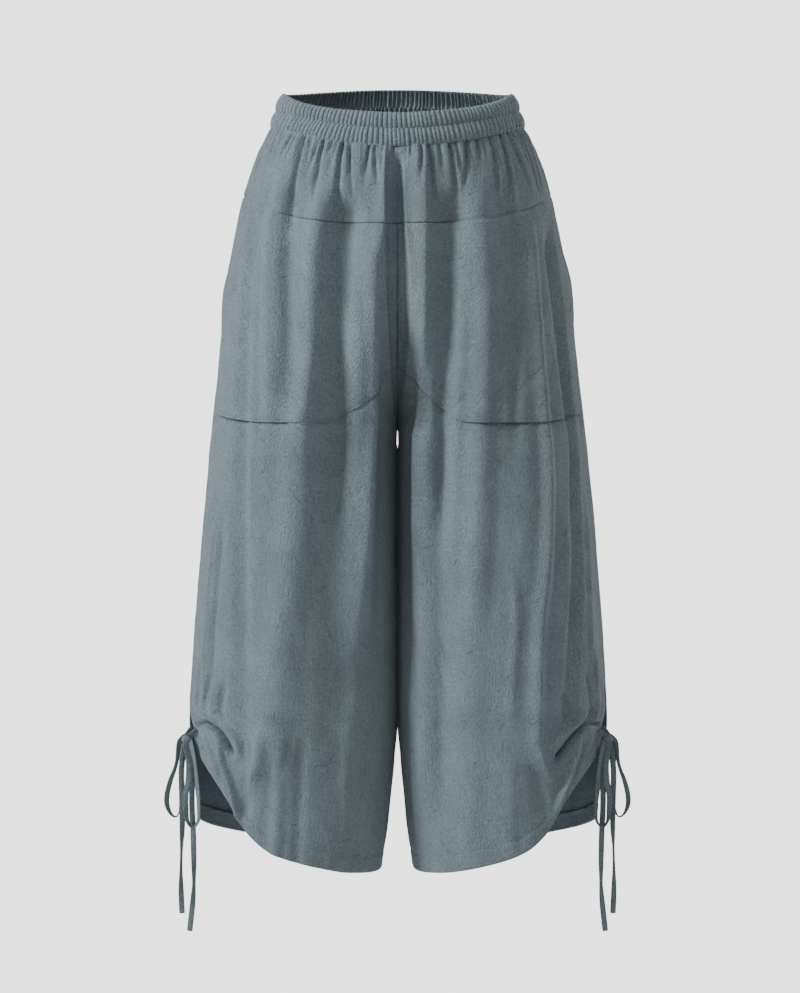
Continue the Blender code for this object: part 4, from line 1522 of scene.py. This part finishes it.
@dataclass(frozen=True)
class Pocket(Quarterpiece):
    """A patch pocket on the front panel, open along the hip."""

    pocket_wall: float = 1.2
    gap: float = 0.4
    gape: float = 1.8
    step: float = 2.6
    width: float = 240.0
    length: float = 232.0
    seam_depth: float = 0.8
    foot_roll: float = 0.15
    foot_groove: float = 0.45
    mouth_roll: float = 0.7
    mouth_groove: float = 0.5
    edge_stitch: float = 2.4
    foot_stitch_level: float = -345.0
    mouth_stitch: float = 7.0
    mouth_stitch_levels: tuple[float, float] = (-130.0, -336.0)
    flat: tuple[float, float] = (0.275, 0.250)
    area: float = 0.062

    def lift(self, level: Array, around: Array) -> Array:
        """Folds of the panel below, the gaping mouth and the turned edges.

        Args:
            level: Levels.
            around: Places round.

        Returns:
            Heights in millimetres.
        """
        relief = self.relief
        arc = FORM.arc(level, self.quarter)
        below_seam = seam_level(YOKE_SEAM, around) - level
        above_foot = level - seam_level(POCKET_FOOT, around)
        to_mouth = (FORM.mouth_around(level) - around) * arc
        lift = relief.at(level, around) + self.gap + self.pocket_wall
        lift += self.gape * relief.mouth_lift(level, around)
        lift += relief.seam_groove(below_seam, around * arc, self.seam_depth)
        lift -= self.foot_roll * (1 - ease(above_foot / 1.2))
        lift -= self.foot_groove * swell((above_foot - self.edge_stitch) / 2.6)
        lift -= self.mouth_roll * (1 - ease(to_mouth / 1.5))
        lift -= self.mouth_groove * swell((to_mouth - self.mouth_stitch) / 2.5)
        return lift

    def stitches(self) -> list[Array]:
        """Lines of the stitches along the foot and the mouth."""
        reach = FORM.mouth_around(np.array(self.foot_stitch_level))
        foot_around = np.linspace(0.03, 0.97, 500) * reach
        foot_level = seam_level(POCKET_FOOT, foot_around) + self.edge_stitch
        mouth_level = np.linspace(*self.mouth_stitch_levels, 400)
        mouth_around = FORM.mouth_around(mouth_level) \
            - self.mouth_stitch / FORM.arc(mouth_level, self.quarter)
        return [self.points(level, around, self.lift(level, around) + THREAD_PROUD)
                for level, around in ((foot_level, foot_around), (mouth_level, mouth_around))]

    def build(self, room: Workroom) -> bpy.types.Object:
        """Make the pocket.

        Args:
            room: The workroom.

        Returns:
            The piece.
        """
        zones = (Zone(1.0, self.step),)
        columns = spread(self.width, zones, self.pleat_columns, EDGE_STEPS)
        rows = spread(self.length, zones, EDGE_STEPS, EDGE_STEPS)
        share = np.broadcast_to(columns, (len(rows), len(columns)))
        around = share.copy()
        for _ in range(4):
            seam = seam_level(YOKE_SEAM, around)
            foot = seam_level(POCKET_FOOT, around)
            top = seam - self.gap
            level = top + (foot - top) * rows[:, None]
            around = share * FORM.mouth_around(level)
        piece = self.cloth(room, f"pocket_{self.side.word}_cloth", level, around,
                           self.lift(level, around), self.pocket_wall, POCKET_CLOTH)
        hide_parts(f"pocket_{self.side.word}")
        return piece


@dataclass(frozen=True)
class Waistband:
    """One half of the elastic band: two ruffled channels with a stitched line between them."""

    quarter: Quarter
    half_height: float = -BAND_FOOT
    ruffle_pitch: float = 4.8
    ruffle_depth: float = 5.6
    ruffle_roundness: float = 0.95
    ruffle_shares: tuple[float, float] = (0.66, 1.34)
    valley_shares: tuple[float, float] = (0.7, 1.0)
    middle_wave: float = 0.68
    line_share: float = 0.42
    side_lean: float = 6.0
    edge_sink: tuple[float, float] = (2.5, 2.7)
    channel_bulge: float = 2.0
    channel_roundness: float = 0.8
    set_in: float = 2.5
    settled_share: float = 0.022
    wall: float = 1.6
    step: float = 0.42
    side_looseness: float = 0.7
    rows_per_channel: int = 13
    flat: tuple[float, float] = (0.50, 0.048)

    def ruffles(self, across: Array, share: Array, seed: int, lean: Array) -> Array:
        """Rounded ridges with sharp valleys of uneven width and lean.

        Args:
            across: Millimetres round the half band.
            share: Place up the channel, from 0 to 1.
            seed: Start of this channel's random draws.
            lean: How far the top of each ruffle lies beyond its foot, in millimetres.

        Returns:
            Heights from 0 in a valley to 1 on a ridge.
        """
        draw = np.random.default_rng(seed)
        count = int(across.max() / self.ruffle_pitch) + 8
        widths = self.ruffle_pitch * draw.uniform(*self.ruffle_shares, count)
        valleys = np.cumsum(widths) - 4 * self.ruffle_pitch
        depths = draw.uniform(*self.valley_shares, count)
        drift = SoftNoise(seed + 5, 42.0, 400.0, 1.6).at(across, np.zeros_like(across))
        place = across - (drift + lean) * (share - 0.5)
        after = np.clip(np.searchsorted(valleys, place), 1, count - 1)
        low, high = valleys[after - 1], valleys[after]
        t = np.clip((place - low) / (high - low), 0.0, 1.0)
        ridge = np.sin(math.pi * t) ** self.ruffle_roundness
        floor = 1 - (depths[after - 1] * (1 - t) + depths[after] * t)
        return floor + (1 - floor) * ridge

    def build(self, room: Workroom) -> bpy.types.Object:
        """Make the half band.

        Args:
            room: The workroom.

        Returns:
            The piece.
        """
        level_rows = np.linspace(self.half_height, -self.half_height - 1.0,
                                 2 * self.rows_per_channel + 1)
        arc = float(FORM.arc(np.array(0.0), self.quarter))
        columns = np.linspace(-1.0, 1.0, 2 * round(arc / self.step) + 1)
        middle = self.band_points(np.zeros_like(columns), columns, np.zeros_like(columns))
        travelled = travel(middle[:, :2] * (1.0, self.side_looseness))
        level, place = np.meshgrid(level_rows, columns, indexing="ij")
        across = np.broadcast_to(travelled, level.shape)
        share = np.clip(1 - np.abs(np.abs(level) / self.half_height * 2 - 1), 0.0, 1.0)
        bulge = np.sin(math.pi / 2 * share) ** self.channel_roundness
        up = np.mod(level / self.half_height + 1.0, 1.0)
        seed = 90 + self.quarter.value
        lean = self.side_lean * ease(-place / 0.5) * ease((1 + place) / 0.3)
        lean *= self.quarter.value
        wave = np.where(level > 0, self.ruffles(across, up, seed, np.full_like(place, 0.6)),
                        self.ruffles(across, up, seed + 3, lean))
        lift = self.channel_bulge * bulge - self.set_in
        settled = ease((1 - np.abs(place)) / self.settled_share)
        freedom = self.line_share + (1 - self.line_share) * bulge
        lift += self.ruffle_depth * (wave - self.middle_wave) * freedom * settled
        lift -= swell((self.half_height - level) / 1.6)
        edge = level + 0.7 * (wave - 0.5) * swell((self.half_height - level) / 5.0)
        if self.quarter is Quarter.FRONT:
            edge -= self.edge_dip(np.abs(place)) * np.clip(level / self.half_height, 0.0, 1.0)
        points = self.band_points(edge, place, lift)
        places = np.stack([across * 1.6, level], axis=-1)
        name = f"waistband_{self.quarter.word}"
        piece = room.sheet(f"{name}_cloth", points, places, self.wall,
                           self.quarter is Quarter.BACK, BAND_CLOTH_PAINTED_LIGHT)
        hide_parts(name)
        return piece

    def edge_dip(self, place: Array) -> Array:
        """How far the front's top edge sinks below the side's, from the centre (0) to it (1)."""
        usual, more = self.edge_sink
        return ease((1 - place) / 0.35) * (usual + more * swell((place - 0.52) / 0.4))

    def band_points(self, level: Array, place: Array, lift: Array) -> Array:
        """Points of the half band.

        Args:
            level: Levels.
            place: Places round, from -1 at the left side to 1 at the right.
            lift: Heights above the plain band.

        Returns:
            Their x, y and z in millimetres.
        """
        left = FORM.points(level, np.abs(place), self.quarter, Side.LEFT, lift)
        right = FORM.points(level, np.abs(place), self.quarter, Side.RIGHT, lift)
        points = np.where(place[..., None] < 0, left, right)
        points[..., 0] = np.where(np.abs(place) < 1e-9, 0.0, points[..., 0])
        return points


# ---------------------------------------------------------------- ties
def smooth_route(route: Sequence[RoutePoint], spacing: float) -> Array:
    """Evenly spaced places on a soft curve through a route.

    Args:
        route: The route's points.
        spacing: Distance between places, in millimetres.

    Returns:
        Rows of x, y, z and face.
    """
    given = np.array(route, dtype=float)
    ends = np.concatenate([[2 * given[0] - given[1]], given, [2 * given[-1] - given[-2]]])
    fine = []
    for before, start, end, after in zip(ends, ends[1:], ends[2:], ends[3:]):
        for t in np.linspace(0.0, 1.0, 12, endpoint=False):
            bend = (2 * before - 5 * start + 4 * end - after) * t ** 2
            twist = (3 * start - before - 3 * end + after) * t ** 3
            fine.append(0.5 * (2 * start + (end - before) * t + bend + twist))
    fine = np.array(fine + [given[-1]])
    travelled = travel(fine[:, :3])
    stops = np.linspace(0.0, travelled[-1], max(3, round(travelled[-1] / spacing) + 1))
    return np.stack([np.interp(stops, travelled, fine[:, axis]) for axis in range(4)], axis=-1)


@dataclass(frozen=True)
class Tie:
    """One flat tie of folded cloth, from the gather through the knot to its cut end."""

    side: Side
    strand: str
    width: float = 6.6
    thickness: float = 1.5
    edge_stitch: float = 1.3
    ring_step: float = 2.0

    def section(self) -> Array:
        """Outline of the tie: rounded edges and a shallow groove where each edge is sewn.

        Returns:
            Rows of width and thickness in millimetres.
        """
        half, thick = self.width / 2, self.thickness / 2
        upper = [(-half, 0.0), (-half + 0.35, thick), (-half + self.edge_stitch, 0.72 * thick),
                 (-half + 2.1, thick), (0.0, 1.08 * thick), (half - 2.1, thick),
                 (half - self.edge_stitch, 0.72 * thick), (half - 0.35, thick)]
        lower = [(half, 0.0)] + [(x, -y) for x, y in upper[:0:-1]]
        return np.array(upper + lower)

    def build(self, room: Workroom, knot: bpy.types.Object) -> bpy.types.Object:
        """Make the tie.

        Args:
            room: The workroom.
            knot: The knot that it runs through; not used.

        Returns:
            The piece.
        """
        stops = smooth_route(TIE_ROUTES[self.strand], self.ring_step)
        middle, face = stops[:, :3], np.radians(stops[:, 3])
        travelled = np.linspace(0.0, 1.0, len(stops))
        wobble = SoftNoise(60 + len(self.strand) + self.side.value, 0.09, 1.0, 10.0)
        face = face + np.radians(wobble.at(travelled, np.zeros_like(travelled)))
        ahead = np.gradient(middle, axis=0)
        ahead /= np.linalg.norm(ahead, axis=1, keepdims=True)
        front = np.array([0.0, -1.0, 0.0])
        level_front = front - (ahead @ front)[:, None] * ahead
        level_front /= np.linalg.norm(level_front, axis=1, keepdims=True)
        aside = np.cross(ahead, level_front)
        normal = np.cos(face)[:, None] * level_front + np.sin(face)[:, None] * aside
        broad = np.cross(ahead, normal)
        size = np.ones(len(stops))
        size[0], size[-1] = 0.8, 0.86
        outline = self.section()
        rings = (middle[:, None, :]
                 + broad[:, None, :] * outline[None, :, :1] * size[:, None, None]
                 + normal[:, None, :] * outline[None, :, 1:])
        rings[..., 0] *= self.side.value
        middle = middle * [self.side.value, 1.0, 1.0]
        name = f"tie_{self.strand}_{self.side.word}"
        piece = room.tube(f"{name}_cloth", rings, TIE_CLOTH)
        lead = {"outer": "upper", "inner": "lower"}[self.strand]
        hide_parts(f"tie_lead_{lead}_{self.side.word}",
                    f"tie_loop_{self.strand}_{self.side.word}",
                    f"tie_tail_{self.strand}_{self.side.word}")
        length = float(travel(middle)[-1])
        LOG.info("%s: %.0f mm long", name, length)
        return piece


@dataclass(frozen=True)
class Knot:
    """The knot of a bow: a wrapped middle with the ties' edges standing proud."""

    side: Side
    centre: tuple[float, float, float] = (238.2, -40.6, -711.0)
    size: tuple[float, float, float] = (5.4, 5.2, 5.0)
    lean: float = -32.0
    rows: int = 23
    sides: int = 48

    def build(self, room: Workroom) -> bpy.types.Object:
        """Make the knot.

        Args:
            room: The workroom.

        Returns:
            The piece.
        """
        turns = np.linspace(0.0, 2 * math.pi, self.sides, endpoint=False)
        heights = np.linspace(-1.0, 1.0, self.rows)
        rings = []
        for height in heights:
            round_off = math.sqrt(max(0.0, 1 - abs(height) ** 3.2)) + 0.02
            crossing = 0.10 * np.cos(turns + 2.2 * height) + 0.05 * np.cos(3 * turns + 1.0)
            wraps = 0.07 * math.cos(9.0 * height)
            radius = round_off * (1.0 + crossing + wraps)
            rings.append(np.stack([self.size[0] * radius * np.cos(turns),
                                   self.size[1] * radius * np.sin(turns),
                                   np.full(turns.size, self.size[2] * height)], axis=-1))
        rings = np.array(rings)
        lean = np.array(Matrix.Rotation(math.radians(self.lean), 3, "Y"))
        rings = rings @ lean.T + np.array(self.centre)
        rings[..., 0] *= self.side.value
        name = f"tie_knot_{self.side.word}"
        piece = room.tube(f"{name}_cloth", rings, TIE_CLOTH)
        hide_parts(name)
        return piece


# ---------------------------------------------------------------- sewing
@dataclass(frozen=True)
class Stitching:
    """Rows of small stitches laid on the cloth."""

    pitch: float = 3.4
    stitch: float = 2.3
    radius: float = 0.26
    sides: int = 6

    def row(self, mesh: bmesh.types.BMesh, points: Array) -> None:
        """Lay stitches along a line of points.

        Args:
            mesh: The mesh that takes the stitches.
            points: Points of the line in millimetres.
        """
        travelled = travel(points)
        for start in np.arange(0.5 * self.pitch, travelled[-1] - self.pitch, self.pitch):
            ends = [Vector([np.interp(place, travelled, points[:, axis]) for axis in range(3)])
                    for place in (start, start + self.stitch)]
            along = ends[1] - ends[0]
            turn = along.to_track_quat("Z", "Y").to_matrix().to_4x4()
            middle = Matrix.Translation((ends[0] + ends[1]) / 2 * MM)
            bmesh.ops.create_cone(mesh, cap_ends=True, segments=self.sides,
                                  radius1=self.radius * MM, radius2=self.radius * MM,
                                  depth=along.length * MM, matrix=middle @ turn)

    def build(self, room: Workroom, name: str, lines: Sequence[Array]) -> bpy.types.Object:
        """Make one piece of several rows of stitches.

        Args:
            room: The workroom.
            name: The piece's name.
            lines: Lines of points in millimetres.

        Returns:
            The piece.
        """
        mesh = bmesh.new()
        for line in lines:
            self.row(mesh, line)
        data = new_mesh(name, mesh)
        data.shade_smooth()
        piece = room.add(name, data, THREAD)
        return piece


# ---------------------------------------------------------------- studio
class Lamp(NamedTuple):
    """A square soft lamp: place and size in metres, power in watts."""

    name: str
    place: tuple[float, float, float]
    size: float
    power: float
    colour: tuple[float, float, float] = (1.0, 1.0, 1.0)


LAMPS = (
    Lamp("key", (-2.95, -1.25, 1.2), 1.1, 146.0, (0.95, 1.0, 1.02)),
    Lamp("fill", (0.2, -3.2, 1.6), 2.0, 12.0),
    Lamp("rim", (2.75, 1.9, 0.5), 1.2, 45.0),
)


@dataclass(frozen=True)
class Studio:
    """Plain pale floor, soft light from the upper left and a level camera."""

    distance: float = 4.0
    elevation: float = 2.0
    target: tuple[float, float, float] = (0.00285, 0.0, -0.437)
    mm_per_pixel: float = 1.14
    picture_height: int = 993
    sensor: float = 24.0
    floor_level: float = -1.25
    floor_radius: float = 1.0
    floor_shade: float = 0.74
    backdrop: float = 2.7
    ambient: float = 0.475
    ambient_colour: tuple[float, float, float] = (1.06, 0.985, 0.94)

    def camera(self) -> None:
        """Set up the camera."""
        data = bpy.data.cameras.new("camera")
        data.sensor_fit = "VERTICAL"
        data.sensor_height = self.sensor
        data.lens = self.sensor * self.distance / (self.picture_height * self.mm_per_pixel * MM)
        camera = new_object("camera", data)
        tilt = math.radians(self.elevation)
        back = Vector((0.0, -math.cos(tilt), math.sin(tilt))) * self.distance
        camera.location = Vector(self.target) + back
        camera.rotation_euler = (math.pi / 2 - tilt, 0.0, 0.0)
        bpy.context.scene.camera = camera

    def floor(self) -> None:
        """Lay the floor far below the garment."""
        mesh = bmesh.new()
        bmesh.ops.create_circle(mesh, cap_ends=True, segments=96, radius=self.floor_radius)
        bmesh.ops.translate(mesh, verts=mesh.verts[:], vec=(0.0, 0.0, self.floor_level))
        data = new_mesh("floor", mesh)
        floor = new_object("floor", data)
        material, board, shader = new_material("floor")
        board.feed(shader, {"Base Color": (*[self.floor_shade] * 3, 1.0), "Roughness": 0.9})
        data.materials.append(material)

    def light(self, lamp: Lamp) -> None:
        """Hang one soft lamp that points at the garment."""
        data = bpy.data.lights.new(lamp.name, "AREA")
        data.shape = "SQUARE"
        data.size = lamp.size
        data.energy = lamp.power
        data.color = lamp.colour
        hung = new_object(lamp.name, data)
        hung.location = lamp.place
        toward = Vector(self.target) - Vector(lamp.place)
        hung.rotation_euler = toward.to_track_quat("-Z", "Y").to_euler()

    def surroundings(self) -> None:
        """Paint the room pale, and let it light the garment less than it shows."""
        world = bpy.data.worlds.new("studio")
        world.use_nodes = True
        nodes = world.node_tree.nodes
        board = NodeBoard(world.node_tree)
        board.feed(nodes["Background"], {"Color": (1.0, 1.0, 1.0, 1.0),
                                         "Strength": self.backdrop})
        lighting = board.add("ShaderNodeBackground", {"Color": (*self.ambient_colour, 1.0),
                                                      "Strength": self.ambient})
        either = board.add("ShaderNodeMixShader", {
            "Fac": board.add("ShaderNodeLightPath").outputs["Is Camera Ray"],
            1: lighting.outputs["Background"], 2: nodes["Background"].outputs["Background"]})
        board.feed(nodes["World Output"], {"Surface": either.outputs["Shader"]})
        bpy.context.scene.world = world

    def build(self) -> None:
        """Set up the whole studio."""
        self.camera()
        self.floor()
        self.surroundings()
        for lamp in LAMPS:
            self.light(lamp)


def main() -> None:
    """Make the studio and every piece of the garment, and report them."""
    logging.basicConfig(level=logging.INFO, format="%(name)s: %(message)s")
    room = Workroom()
    Studio().build()
    for side in Side:
        knot = Knot(side).build(room)
        for strand in TIE_ROUTES:
            Tie(side, strand).build(room, knot)
    for quarter in Quarter:
        Waistband(quarter).build(room)
        for side in Side:
            Yoke(quarter, side).build(room)
            Panel(quarter, side).build(room)
    for side in Side:
        pocket = Pocket(Quarter.FRONT, side)
        pocket.build(room)
        lines = [Panel(quarter, side).hem_stitches() for quarter in Quarter] + pocket.stitches()
        Stitching().build(room, f"stitches_{side.word}", lines)


if __name__ == "__main__":
    main()
